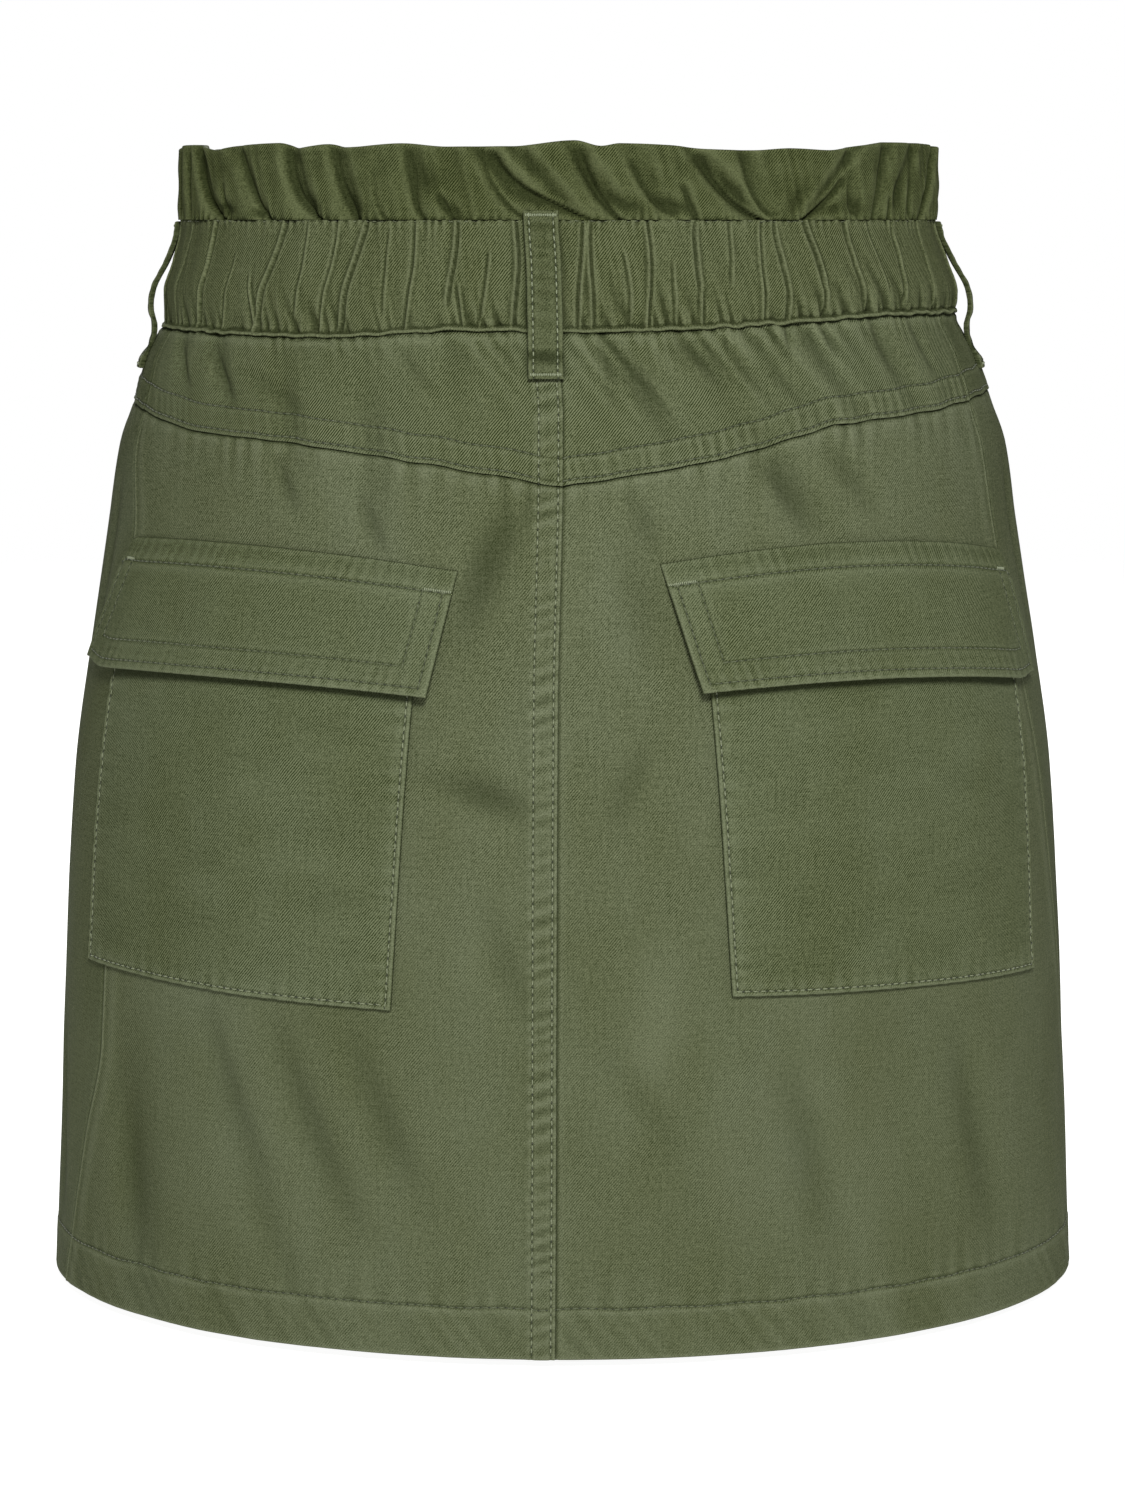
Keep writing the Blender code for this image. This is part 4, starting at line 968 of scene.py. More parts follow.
def sew_panel(name, first, last, width, pitch, felled):
    """One panel from the yoke seam down to the folded edge of the hem."""
    down = steps((2.0, 0.5), (296.0, pitch), (26.8, 0.75), (1.2, 0.2))
    share, height = panel_grid(columns(width, pitch, felled), down, first, last,
                               along_seam(YOKE_SEAM), lambda share: np.full_like(share, HEM))
    below_yoke = seam_height(YOKE_SEAM, share) - height
    # The hem's fold rubs paler; the line under the yoke's lapped edge is painted darker as its
    # shadow.
    wear_and_shade = 0.3 * groove(height - HEM - 0.6, 1.0) - 1.1 * groove(below_yoke, 0.9)
    wear_and_shade = wear_and_shade + side_wear_and_shade(share, height)
    lift, wear_and_shade = at_centre_back(panel_lift(share, height), wear_and_shade, share, height, felled)
    turned_up = ease((HEM_STITCH + 1.0 - (height - HEM)) / 1.5)
    sew(name, share, height, lift, -CLOTH - (HEM_WALL - CLOTH) * turned_up, wear_and_shade)

# %% Sew the panels
sew_panel("back_panel_left", at_left, at_back, 190.0, 1.45, True)
sew_panel("back_panel_right", at_back, at_right, 215.0, 1.45, False)
sew_panel("front_panel", at_right, round_to_left, 560.0, 3.4, False)

# %% [markdown]
# ## Pockets and flaps
# The cargo pockets are patches, stitched flat to the skirt along three sides. The flaps are
# two layers turned inside out and topstitched, sewn down along the top, and they stand off a
# little at the free edge. Both follow the skirt's creases, because they are placed on its
# surface by share and height as the solids are.

# %% Shapes of the pockets and flaps
POCKET_TOP = -106.0
POCKETS = {
    "pocket_left": dict(side=-1, inner=(0.104, 0.120), outer=(0.386, 0.397),
                        bottom=(-250.4, -247.2)),
    "pocket_right": dict(side=1, inner=(0.103, 0.118), outer=(0.394, 0.392),
                         bottom=(-245.2, -250.2)),
}
POCKET_LIFT = 0.4
POCKET_WALL = 1.6
POCKET_FULLNESS = 0.8
POCKET_ROW = 1.9
FLAPS = {
    "flap_left": dict(side=-1, inner=(0.078, 0.096), outer=(0.392, 0.432),
                      top=(-98.5, -92.0, -93.0), bottom=(-141.0, -137.6, -141.2)),
    "flap_right": dict(side=1, inner=(0.073, 0.099), outer=(0.408, 0.425),
                       top=(-96.2, -90.6, -98.4), bottom=(-139.6, -137.9, -146.4)),
}
FLAP_WALL = 1.9
FLAP_TOP_WALL = 1.1
FLAP_STAND = table("way_down lift", (0.0, 0.2), (0.14, 1.0), (0.5, 2.5), (0.8, 3.6), (1.0, 4.8))
FLAP_TOP_ROW = 8.2
FLAP_ROWS = (3.2, 10.2)


def on_patch(shape, out, down, top, low):
    """Share and height by way out and way down, between a patch's sides, its top and its foot."""
    near, far = between(shape["inner"], down), between(shape["outer"], down)
    return shape["side"] * between((near, far), out), between((top, low), down)


def pocket_place(shape, out, down):
    """Share and height of a point of a pocket."""
    return on_patch(shape, out, down, POCKET_TOP, between(shape["bottom"], out))


def arch(values, out):
    """A curve through an inner, a middle and an outer height."""
    start, middle, end = values
    return between((start, end), out) + 4.0 * (middle - 0.5 * (start + end)) * out * (1.0 - out)


def flap_place(shape, out, down):
    """Share and height of a point of a flap."""
    top = arch(shape["top"], out) - 2.0 * ease((out - 0.955) / 0.045) ** 2
    low = arch(shape["bottom"], out) + 3.4 * ease((out - 0.86) / 0.14) ** 1.5
    return on_patch(shape, out, down, top, low)

# %% Distances in from a patch's edges
def patch_sizes(place, shape):
    """Width and height of a patch in millimetres."""
    out, down = np.array([[0.0, 1.0, 0.5, 0.5], [0.5, 0.5, 0.0, 1.0]])
    share, height = place(shape, out, down)
    return abs(share[1] - share[0]) * half_girth(height[0]), height[2] - height[3]


def patch_edges(place, shape, out, down):
    """Distances in from the inner side of a patch, its nearer side, its foot and its top."""
    wide, tall = patch_sizes(place, shape)
    return out * wide, np.minimum(out, 1.0 - out) * wide, (1.0 - down) * tall, down * tall


def pocket_lift(shape, out, down):
    """Outer face of a pocket: full in the middle, drawn in along its row of stitches."""
    inner, side, low, top = patch_edges(pocket_place, shape, out, down)
    away, around = np.minimum(side, low), np.where(low < side, inner, top)
    lift = POCKET_LIFT + POCKET_WALL + POCKET_FULLNESS * np.sin(np.pi * out) * np.sin(np.pi * down)
    lift = lift - 0.38 * groove(away - POCKET_ROW, 0.6) - rolled(away, 0.8)
    lift = lift + 0.20 * puckers(around, away - POCKET_ROW, 6.5, 5.0, 81)
    return lift + 0.22 * uneven(*pocket_place(shape, out, down), 24.0, 12.0, 6)


def flap_stand(out, down):
    """How far a flap stands off: more towards its free edge, less towards the side seam."""
    return curve(FLAP_STAND, "lift", down, key="way_down") * (1.0 - 0.55 * ease((out - 0.8) / 0.2))


def flap_lift(shape, out, down):
    """Outer face of a flap, with its rows of stitches and rolled edges."""
    inner, side, low, top = patch_edges(flap_place, shape, out, down)
    away = np.minimum(side, low)
    lift = flap_stand(out, down) + between((FLAP_TOP_WALL, FLAP_WALL), ease(top / 12.0))
    lift = lift - rolled(away, 0.9) - 0.7 * rolled(top, 0.7)
    for row in FLAP_ROWS:
        lift = lift - ROW_DEPTH * groove(away - row, 0.5) * ease(top - FLAP_TOP_ROW)
    lift = lift - 0.50 * groove(top - FLAP_TOP_ROW, 0.7)
    lift = lift + 0.16 * puckers(inner, low - FLAP_ROWS[0], 5.0, 8.0, 83)
    lift = lift + 0.11 * ease((FLAP_TOP_ROW + 0.8 - top) / 1.5) * ripple(inner, 5.2, 85)
    return lift + 0.20 * uneven(*flap_place(shape, out, down), 26.0, 12.0, 7)


def shade_under_flap(shape, share, height):
    """How near the cloth lies below the free edge of a flap, where the flap's shadow is painted
    dark.
    """
    near, far = shape["inner"][1], shape["outer"][1]
    low = arch(shape["bottom"], np.clip((np.abs(share) - near) / (far - near), 0.0, 1.0))
    return groove(low - 1.1 - height, 1.8)

# %% Sew the pockets and flaps
def sew_patch(name, shape, place, lift_of, inner_lift_of, pitch, cut, flap=None):
    """A patch of cloth on the skirt, with rolled edges all round."""
    wide, tall = patch_sizes(place, shape)
    out, down = np.meshgrid(spaced(wide, pitch, True, True), spaced(tall, pitch, True, True))
    if shape["side"] < 0:
        out = out[:, ::-1]
    share, height = place(shape, out, down)
    _, side, low, _ = patch_edges(place, shape, out, down)
    wear_and_shade = 0.35 * groove(np.minimum(side, low) - 0.5, 0.7)
    if flap:
        # Below a flap's free edge the pocket is painted darker as the flap's shadow.
        wear_and_shade = wear_and_shade - 1.3 * shade_under_flap(flap, share, height)
    sew(name, share, height, lift_of(shape, out, down), inner_lift_of(out, down), wear_and_shade, cut=cut)
    print("%s: %.0f x %.0f mm" % (name, wide, tall))


for name, shape in POCKETS.items():
    sew_patch(name, shape, pocket_place, pocket_lift, lambda out, down: POCKET_LIFT, 1.2,
              (31.0 * shape["side"], 7.3), FLAPS[name.replace("pocket", "flap")])
for name, shape in FLAPS.items():
    sew_patch(name, shape, flap_place, flap_lift, flap_stand, 0.75, (12.0 * shape["side"], 18.7))

# %% [markdown]
# ## Belt loops
# A belt loop is a strip folded in three, stitched down both long edges and sewn on over the
# waistband. The centre loop lies nearly flat and the side loops bow out, so that a belt can
# pass. One sheet follows the side view of the loop, given by a table of heights and lifts.

# %% Sew the belt loops
LOOP_WALL = 1.9
FLAT_PATH = table(
    "height lift",
    (LOOP_TOP, 1.25), (17, 0.9), (11.5, 1), (4.5, 1.2), (-2.5, 1.3), (-7.5, 1.6), (-12, 2.15),
    (-17, 2.1), (-21, 2), (-25, 1.5), (-29.5, 1.1), (LOOP_FOOT, 1.1))
BOWED_PATH = table(
    "height lift",
    (LOOP_TOP, 0.1), (15, 0.2), (9, 0.6), (2.5, 1.6), (-3, 2.7), (-7.5, 3.6), (-11, 4.2),
    (-14, 4.1), (-17, 3), (-20, 1.3), (-23, 0.3), (-27, 0.2), (LOOP_FOOT, 0.1))
LOOPS = {
    "belt_loop_centre": dict(ends=CENTRE_LOOP, path=FLAT_PATH, top=LOOP_TOP),
    "belt_loop_left": dict(ends=(-0.502, -0.473), path=BOWED_PATH, top=19.2),
    "belt_loop_right": dict(ends=(0.502, 0.472), path=BOWED_PATH, top=19.2),
}
LOOP_ROW = 1.9


def loop_lift(loop, height):
    """Lift of a loop's inner face."""
    return curve(loop["path"], "lift", height)


def loop_face(loop, across, height):
    """Lift of a loop's outer face: rounded long edges and two rows of stitches."""
    away = (0.5 - np.abs(across)) * LOOP_WIDTH
    end = np.minimum(loop["top"] - height, height - LOOP_FOOT)
    lift = loop_lift(loop, height) + LOOP_WALL - rolled(np.minimum(away, end), 0.8)
    lift = lift - 0.42 * groove(away - LOOP_ROW, 0.6)
    lift = lift + 0.16 * ripple(height + 2.0 * across, 5.0, 91) + 0.30 * ease((5.0 - end) / 1.2)
    return lift - 0.9 * groove(height - LOOP_FOOT - 8.0, 2.4)


def loop_share(loop, across, height):
    """Share of a point on a loop."""
    return loop_middle(loop["ends"], height) + across * LOOP_WIDTH / half_girth(height)


def sew_loop(name, loop):
    """One strap from its folded top down to its tack."""
    top, low = loop["top"], LOOP_FOOT
    down = spaced(top - low, 0.7, True, True)
    across = spaced(LOOP_WIDTH, 0.7, True, True) - 0.5
    height, across = np.meshgrid(top + (low - top) * down, across, indexing="ij")
    wear_and_shade = 0.4 * groove((0.5 - np.abs(across)) * LOOP_WIDTH - 0.5, 0.8)
    # The hollow above the tack is painted darker as shade.
    wear_and_shade = wear_and_shade - 0.8 * groove(height - low - 8.0, 2.2)
    sew(name, loop_share(loop, across, height), height, loop_face(loop, across, height),
        loop_lift(loop, height), wear_and_shade, cut=(4.0, 2.0))


for name, loop in LOOPS.items():
    sew_loop(name, loop)

# %% [markdown]
# ## Stitches and bar tacks
# A row of stitches is the same short thread again and again along a path, which is what
# Geometry Nodes do best. The tree takes a path, sets points along it at an even spacing, and
# puts one small rounded thread on each, turned along the path and lying on the cloth. Half a
# step further on, between two threads, it puts a small near-black bead: painted shade that
# stands for the shadow where the needle went through the cloth. A bar tack is the same tree
# with threads that lie across the path and close together.

# %% Add a node to any tree
def add_node(tree, kind, settings=(), values=()):
    """Add a node: its settings first, then a value or a link for each socket."""
    made = tree.nodes.new(kind)
    for key, value in dict(settings).items():
        setattr(made, key, value)
    for key, value in dict(values).items():
        socket = made.inputs[key] if isinstance(key, int) else next(
            s for s in made.inputs if s.name == key and s.enabled)
        if isinstance(value, bpy.types.NodeSocket):
            tree.links.new(value, socket)
        else:
            socket.default_value = value
    return made

# %% The stitch tree
SOCKETS = {"Path": "Geometry", "Spacing": "Float", "Along": "Float", "Across": "Float",
           "Thickness": "Float", "Seed": "Int", "Thread": "Material", "Hole Shade": "Material",
           "Hole Width": "Float"}


def stitch_tree():
    """Geometry Nodes that turn a path into a row of threads, with beads of painted shade where the
    needle went through.
    """
    tree = bpy.data.node_groups.new("thread_row", "GeometryNodeTree")
    for name, kind in SOCKETS.items():
        tree.interface.new_socket(name, in_out="INPUT", socket_type="NodeSocket" + kind)
    tree.interface.new_socket("Row", in_out="OUTPUT", socket_type="NodeSocketGeometry")

    def add(kind, settings=(), **values):
        """Add a node and give its first output that is in use."""
        values = {key.replace("_", " "): value for key, value in values.items()}
        made = add_node(tree, kind, settings, values)
        return next((socket for socket in made.outputs if socket.enabled), made)

    def laid(points, bead, size, turn, material):
        """Put a bead on each point, as plain geometry with a material."""
        rows = add("GeometryNodeInstanceOnPoints", Points=points, Instance=bead, Rotation=turn,
                   Scale=size)
        real = add("GeometryNodeRealizeInstances", Geometry=rows)
        return add("GeometryNodeSetMaterial", Geometry=real, Material=material)

    given = tree.nodes.new("NodeGroupInput").outputs
    line = add("GeometryNodeMeshToCurve", Mesh=given["Path"])
    dots = add("GeometryNodeCurveToPoints", dict(mode="LENGTH"), Curve=line,
               Length=given["Spacing"])
    ahead = dots.node.outputs["Tangent"]
    out = add("GeometryNodeInputNamedAttribute", dict(data_type="FLOAT_VECTOR"), Name="out")
    turn = add("FunctionNodeAxesToRotation", dict(primary_axis="X", secondary_axis="Z"),
               Primary_Axis=ahead, Secondary_Axis=out)
    askew = add("FunctionNodeRandomValue", dict(data_type="FLOAT"), Min=-0.10, Max=0.10,
                Seed=given["Seed"])
    twist = add("FunctionNodeAxisAngleToRotation", Angle=askew)
    turned = add("FunctionNodeRotateRotation", dict(rotation_space="LOCAL"), Rotation=turn,
                 Rotate_By=twist)
    size = add("ShaderNodeCombineXYZ", X=given["Along"], Y=given["Across"], Z=given["Thickness"])
    vary = add("FunctionNodeRandomValue", dict(data_type="FLOAT"), Min=0.88, Max=1.08,
               Seed=given["Seed"])
    sized = add("ShaderNodeVectorMath", dict(operation="SCALE"), Vector=size, Scale=vary)
    thread = add("GeometryNodeMeshUVSphere", Segments=6, Rings=4, Radius=0.5)
    threads = add("GeometryNodeSetShadeSmooth",
                  Geometry=laid(dots, thread, sized, turned, given["Thread"]))
    step = add_node(tree, "ShaderNodeMath", dict(operation="MULTIPLY"),
                    {0: given["Spacing"], 1: 0.5}).outputs[0]
    half_step = add("ShaderNodeVectorMath", dict(operation="SCALE"), Vector=ahead, Scale=step)
    moved = add("GeometryNodeSetPosition", Geometry=dots, Offset=half_step)
    # Painted shade: a flat dark bead between two threads, for the shadow where the needle went
    # through.
    hole_shade = add("GeometryNodeMeshUVSphere", Segments=6, Rings=3, Radius=0.5)
    hole_size = add("ShaderNodeCombineXYZ", X=given["Hole Width"], Y=given["Hole Width"],
                    Z=given["Thickness"])
    hole_shades = laid(moved, hole_shade, hole_size, turn, given["Hole Shade"])
    both = tree.nodes.new("GeometryNodeJoinGeometry")
    for part in (threads, hole_shades):
        tree.links.new(part, both.inputs[0])
    tree.links.new(both.outputs[0], tree.nodes.new("NodeGroupOutput").inputs[0])
    return tree


THREAD_TREE = stitch_tree()

# %% [markdown]
# ## Finishes
# The cloth is a fine cotton twill, dyed olive and washed. A twill's threads pass over several
# others and step sideways each row, which draws slanted lines called wales. They are drawn
# here from the cloth's own UV map, so they follow every fold. Colour, roughness and relief all
# come from the same wales. An image of cloth would do this too, but would repeat and blur.
#
# Node maths is written as sums: a small class stands for the output of a node, and adding or
# multiplying it adds the Math node.

# %% Node maths as sums
class Value:
    """An output in a finish's node tree that works as a number does."""

    def __init__(self, finish, socket):
        self.finish = finish
        self.socket = socket

    def math(self, operation, first, second=0.0):
        return self.finish.node("ShaderNodeMath", dict(operation=operation), {0: first, 1: second})

    def __add__(self, other):
        return self.math("ADD", self, other)

    def __sub__(self, other):
        return self.math("SUBTRACT", self, other)

    def __rsub__(self, other):
        return self.math("SUBTRACT", other, self)

    def __mul__(self, other):
        return self.math("MULTIPLY", self, other)

    __radd__ = __add__
    __rmul__ = __mul__

    def sine(self):
        return self.math("SINE", self)

    def size(self):
        return self.math("ABSOLUTE", self)

    def held(self):
        """Keep it between 0 and 1."""
        return self.math("MINIMUM", self.math("MAXIMUM", self, 0.0), 1.0)

    def output(self, number):
        """Another output of the same node."""
        return Value(self.finish, self.socket.node.outputs[number])


class Finish:
    """A material, built node by node."""

    def __init__(self, name, **constants):
        self.material = bpy.data.materials.new(name)
        self.material.use_nodes = True
        self.tree = self.material.node_tree
        self.shader = self.tree.nodes["Principled BSDF"]
        for socket, value in constants.items():
            self.shader.inputs[socket.replace("_", " ")].default_value = value

    def node(self, kind, settings=(), values=(), output=0):
        """Add a node by its settings and the values or links of its sockets; give an output."""
        values = {key: getattr(value, "socket", value) for key, value in dict(values).items()}
        return Value(self, add_node(self.tree, kind, settings, values).outputs[output])

    def in_mm(self, place):
        """Turn metres into millimetres."""
        return self.node("ShaderNodeVectorMath", dict(operation="SCALE"),
                         {0: place, "Scale": 1000.0})

    def noise(self, place, size, detail=2.0, number=0.0):
        """Noise from -1 to 1 with features about so large."""
        scaled = self.node("ShaderNodeVectorMath", dict(operation="MULTIPLY"),
                           {0: place, 1: tuple(1.0 / s for s in size)})
        made = self.node("ShaderNodeTexNoise", dict(noise_dimensions="4D"),
                         {"Vector": scaled, "W": number, "Scale": 1.0, "Detail": detail,
                          "Roughness": 0.55})
        return (made - 0.5) * 3.2

    def mix(self, factor, first, second):
        """Mix two colours, or an earlier mix and a colour."""
        return self.node("ShaderNodeMix", dict(data_type="RGBA"),
                         {0: factor, 6: first, 7: second}, output=2)

    def feed(self, socket, value):
        """Link a value to the shader."""
        self.tree.links.new(value.socket, self.shader.inputs[socket])

# %% Twill
WALE_PITCH = 0.79
WALE_ANGLE = math.radians(50.7)
PRESSED_FROM = 0.12
PRESSED_OVER = 0.12
# From darkest: the deep olive for painted shade, the dark and light of the weave, and the pale worn
# olive.
OLIVE = ((0.008, 0.012, 0.002), (0.012, 0.018, 0.003), (0.124, 0.140, 0.080), (0.154, 0.171, 0.104))


def colour(red, green, blue):
    """A colour with its alpha."""
    return (red, green, blue, 1.0)


def twill(name, tone, wales, grains, flattened=0.0):
    """Washed twill from the cloth's UV map: wales, threads, slubs, fading, worn edges and painted
    shade.

    Pressing has flattened the weave of the lower skirt by a share, from 0 to 1."""
    finish = Finish(name, Specular_IOR_Level=0.03)
    deep, dark, light, worn = (colour(*(t * part for t, part in zip(tone, row))) for row in OLIVE)
    place = finish.in_mm(finish.node("ShaderNodeUVMap", dict(uv_map="cloth")))
    across = finish.node("ShaderNodeSeparateXYZ", values={0: place})
    up = across.output(1)
    sway = finish.noise(place, (7.0, 7.0, 7.0))
    phase = across * (math.sin(WALE_ANGLE) / WALE_PITCH) - up * (math.cos(WALE_ANGLE) / WALE_PITCH)
    wale = ((phase + 0.30 * sway) * (2.0 * math.pi)).sine()
    grain = finish.noise(place, (0.5, 0.5, 0.5), 1.0, 3.0)
    speck = finish.noise(place, (1.5, 1.5, 1.5), 2.0, 4.0)
    wear_and_shade, steep = (finish.node("ShaderNodeAttribute", dict(attribute_name=kind), output="Fac")
                   for kind in ("wear_and_shade", "steep"))
    hidden = (0.5 * wear_and_shade.size() + 0.9 * steep).held()
    clear = (finish.noise(place, (15.0, 18.0, 16.0), 2.0, 5.0) * 0.7 + 0.7).held() * (1.0 - hidden)
    weft = finish.noise(place, (14.0, 0.55, 1.0), 2.0, 7.0)
    warp = finish.noise(place, (0.6, 22.0, 1.0), 2.0, 9.0)
    faded = finish.noise(place, (50.0, 95.0, 60.0), 3.0, 11.0)
    at = finish.node("ShaderNodeTexCoord", output="Object")
    height = finish.node("ShaderNodeSeparateXYZ", values={0: at}, output=2)
    low = ((height + PRESSED_FROM) * (-1.0 / PRESSED_OVER)).held()
    weave = wales * wale * clear + grains * (grain + 0.5 * speck) + 0.12 * weft + 0.10 * warp
    threads = weave * (1.0 - flattened * low) + 0.13 * faded
    ochre = tuple(part * tint for part, tint in zip(light, (1.0, 0.98, 0.84, 1.0)))
    base = finish.mix((0.5 + threads).held(), dark,
                      finish.mix((0.65 + 0.6 * faded).held(), ochre, light))
    # Above 0 the cloth turns paler from rubbing; below 0 it is painted darker towards the deep
    # olive as shade in valleys, creases, hollows, stitch rows and under the flaps.
    pale = finish.mix((wear_and_shade * (0.45 + 0.30 * grain)).held(), base, worn)
    finish.feed("Base Color", finish.mix((wear_and_shade * -0.55).held(), pale, deep))
    finish.feed("Roughness", (0.86 + 0.05 * grain - 0.03 * wale).held())
    relief = 0.6 * wale * clear + 0.42 * grain + 0.16 * weft + 0.12 * warp
    finish.feed("Normal", finish.node("ShaderNodeBump", values={
        "Strength": 0.5, "Distance": 0.00012, "Height": relief}))
    return finish.material


# Each piece has its own tone: the ruffle darkest, then the belt loops, the waistband, the yoke and
# pockets, and the panels lightest.
TWILL = twill("olive_twill", (0.97, 0.96, 1.00), 0.37, 0.43, 0.24)
YOKE_TWILL = twill("olive_yoke_twill", (0.90, 0.90, 0.89), 0.86, 0.44)
BAND_TWILL = twill("olive_band_twill", (0.80, 0.80, 0.73), 0.80, 0.48)
RUFFLE_TWILL = twill("olive_ruffle_twill", (0.605, 0.62, 0.48), 0.80, 0.46)
POCKET_TWILL = twill("olive_pocket_twill", (0.90, 0.91, 0.90), 0.55, 0.42)
LOOP_TWILL = twill("olive_loop_twill", (0.66, 0.67, 0.60), 0.34, 0.52)

# %% Thread
def thread(name, dark, light):
    """Cotton thread: two strands twisted together, so that the tone changes along it."""
    finish = Finish(name, Sheen_Weight=0.15, Specular_IOR_Level=0.3)
    place = finish.in_mm(finish.node("ShaderNodeTexCoord", output="Object"))
    strand = finish.noise(place, (0.5, 0.5, 0.5), 1.0)
    tone = finish.mix((0.5 + 0.35 * strand).held(), colour(*dark), colour(*light))
    finish.feed("Base Color", tone)
    finish.feed("Roughness", (0.7 + 0.08 * strand).held())
    return finish.material


DARK_THREAD = thread("dark_olive_thread", (0.030, 0.038, 0.014), (0.095, 0.110, 0.056))
OLIVE_THREAD = thread("olive_thread", (0.090, 0.104, 0.052), (0.175, 0.195, 0.118))
# Painted shade: near-black beads that stand for the shadow where the needle went through the cloth.
NEEDLE_HOLE_SHADE = thread("needle_hole_shade", (0.008, 0.011, 0.003), (0.020, 0.026, 0.008))
SHADED_THREAD = thread("shaded_olive_thread", (0.045, 0.055, 0.024), (0.095, 0.108, 0.056))
PALE_THREAD = thread("pale_olive_thread", (0.10, 0.118, 0.064), (0.21, 0.235, 0.145))

# %% [markdown]
# ## Where the stitches run
# Each row is a list of places on a piece, turned into points that lie on its outer face, and
# the direction out of the cloth at each point, which the tree needs to lay the threads flat.

# %% Lay one set of rows
def path_on(surface, share, height, lift):
    """Points on a surface and the direction out of it."""
    at = surface(share, height, lift)
    return at * MM, surface(share, height, lift + 1.0) - at


def lay_threads(name, rows, spacing, size, material, seed, hole_shade=0.7):
    """Make one mesh of threads, so long, wide and thick, along several paths."""
    points, outs = (np.vstack(column) for column in zip(*rows))
    starts = np.cumsum([len(at) for at, _ in rows])
    edges = [(i, i + 1) for i in range(len(points) - 1) if i + 1 not in starts]
    mesh = bpy.data.meshes.new(name + "_path")
    mesh.from_pydata(points.tolist(), edges, [])
    layer = mesh.attributes.new("out", "FLOAT_VECTOR", "POINT")
    layer.data.foreach_set("vector", outs.astype(np.float32).ravel())
    carrier = add_object(name + "_path", mesh)
    modifier = carrier.modifiers.new("threads", "NODES")
    modifier.node_group = THREAD_TREE
    along, across, thickness = size
    values = {"Spacing": spacing * MM, "Along": along * MM, "Across": across * MM,
              "Thickness": thickness * MM, "Seed": seed, "Thread": material,
              "Hole Shade": NEEDLE_HOLE_SHADE, "Hole Width": hole_shade * MM}
    for item in THREAD_TREE.interface.items_tree:
        if item.in_out == "INPUT" and item.name in values:
            modifier[item.identifier] = values[item.name]
    bpy.context.view_layer.update()
    graph = bpy.context.evaluated_depsgraph_get()
    plain = bpy.data.meshes.new_from_object(carrier.evaluated_get(graph))
    plain.name = name
    pieces[name] = add_object(name, plain)
    bpy.data.objects.remove(carrier)
    print("%s: %d rows, %d faces" % (name, len(rows), len(plain.polygons)))

# %% Rows on the yokes, panels and waist
STITCH = 2.9
THREAD_SIZE = (2.3, 0.55, 0.42)
SUNK = 0.10
YOKE_POINTS = 500
BACK_POINTS = 400
ROUND_POINTS = 1400
NEARLY_ROUND = 0.9999
ONCE_ROUND = np.linspace(-1.0, NEARLY_ROUND, ROUND_POINTS)


def row_along_yoke(above, first, last):
    """A row at a distance above the yoke seam."""
    share = np.linspace(first, last, YOKE_POINTS)
    height = seam_height(YOKE_SEAM, share) + above
    return path_on(skirt, share, height, yoke_lift(share, height) + SUNK)


def row_along_hem():
    """The row that holds the hem, all the way round."""
    share = ONCE_ROUND
    height = HEM + hem_line(share * half_girth(HEM + HEM_STITCH))
    felled = (share < seam_share(CENTRE_BACK, height)) & (share > -0.02)
    lift = panel_lift(share, height) + np.where(felled, felled_lift(share, height), 0.0)
    return path_on(skirt, share, height, lift + SUNK)


def row_under_ruffle():
    """The row that closes the casing, between the ruffle and the elastic."""
    along = ONCE_ROUND * half_girth(STITCH_LINE)
    height = STITCH_LINE - 0.5 + 0.25 * ripple(along, 6.0, 95)
    return path_on(body, ONCE_ROUND, height, -0.35 + 0.30 * ripple(along, 3.7, 36))


def row_down_back(away, high, low, lift_of):
    """A row down the lapped seam, at a distance to the left of the centre back."""
    height = np.linspace(high, low, BACK_POINTS)
    share = seam_share(CENTRE_BACK, height) - away / half_girth(height)
    lift = lift_of(share, height) + felled_lift(share, height)
    return path_on(skirt, share, height, lift + SUNK)


cloth_rows = [row_along_yoke(above, first, last) for above in (EDGE_ROW, SECOND_ROW)
              for first, last in ((-1.0, -0.0215), (0.002, NEARLY_ROUND))]
cloth_rows.append(row_along_hem())
lay_threads("stitches_skirt", cloth_rows, STITCH, THREAD_SIZE, DARK_THREAD, 1)
back_rows = []
for away in FELLED_ROWS:
    back_rows += [row_down_back(away, -36.0, -67.5, lambda s, h: pressed_flatter(yoke_lift(s, h))),
                  row_down_back(away, -71.5, HEM + 3.5, panel_lift)]
lay_threads("stitches_back", back_rows, STITCH, (2.2, 0.55, 0.45), OLIVE_THREAD, 7)
lay_threads("stitches_waist", [row_under_ruffle()], 2.6, (1.9, 0.45, 0.35), SHADED_THREAD, 2,
            hole_shade=0.25)

# %% Rows on the pockets and flaps
ROW_POINTS = 160
POCKET_ROW_TOP = 0.2


def patch_row(place, lift_of, shape, out, down):
    """A row on a patch, given by way out and way down."""
    return path_on(skirt, *place(shape, out, down), lift_of(shape, out, down) + SUNK)


def row_round(place, lift_of, shape, away, top):
    """A row down the inner side, along the foot and up the outer side, a distance in."""
    wide, tall = patch_sizes(place, shape)
    side, low = away / wide, 1.0 - away / tall
    run, level = np.linspace(0.0, 1.0, ROW_POINTS), np.ones(ROW_POINTS)
    out = np.concatenate([side * level, side + (1.0 - 2.0 * side) * run, (1.0 - side) * level])
    down = np.concatenate([between((top, low), run), low * level, between((low, top), run)])
    return patch_row(place, lift_of, shape, out, down)


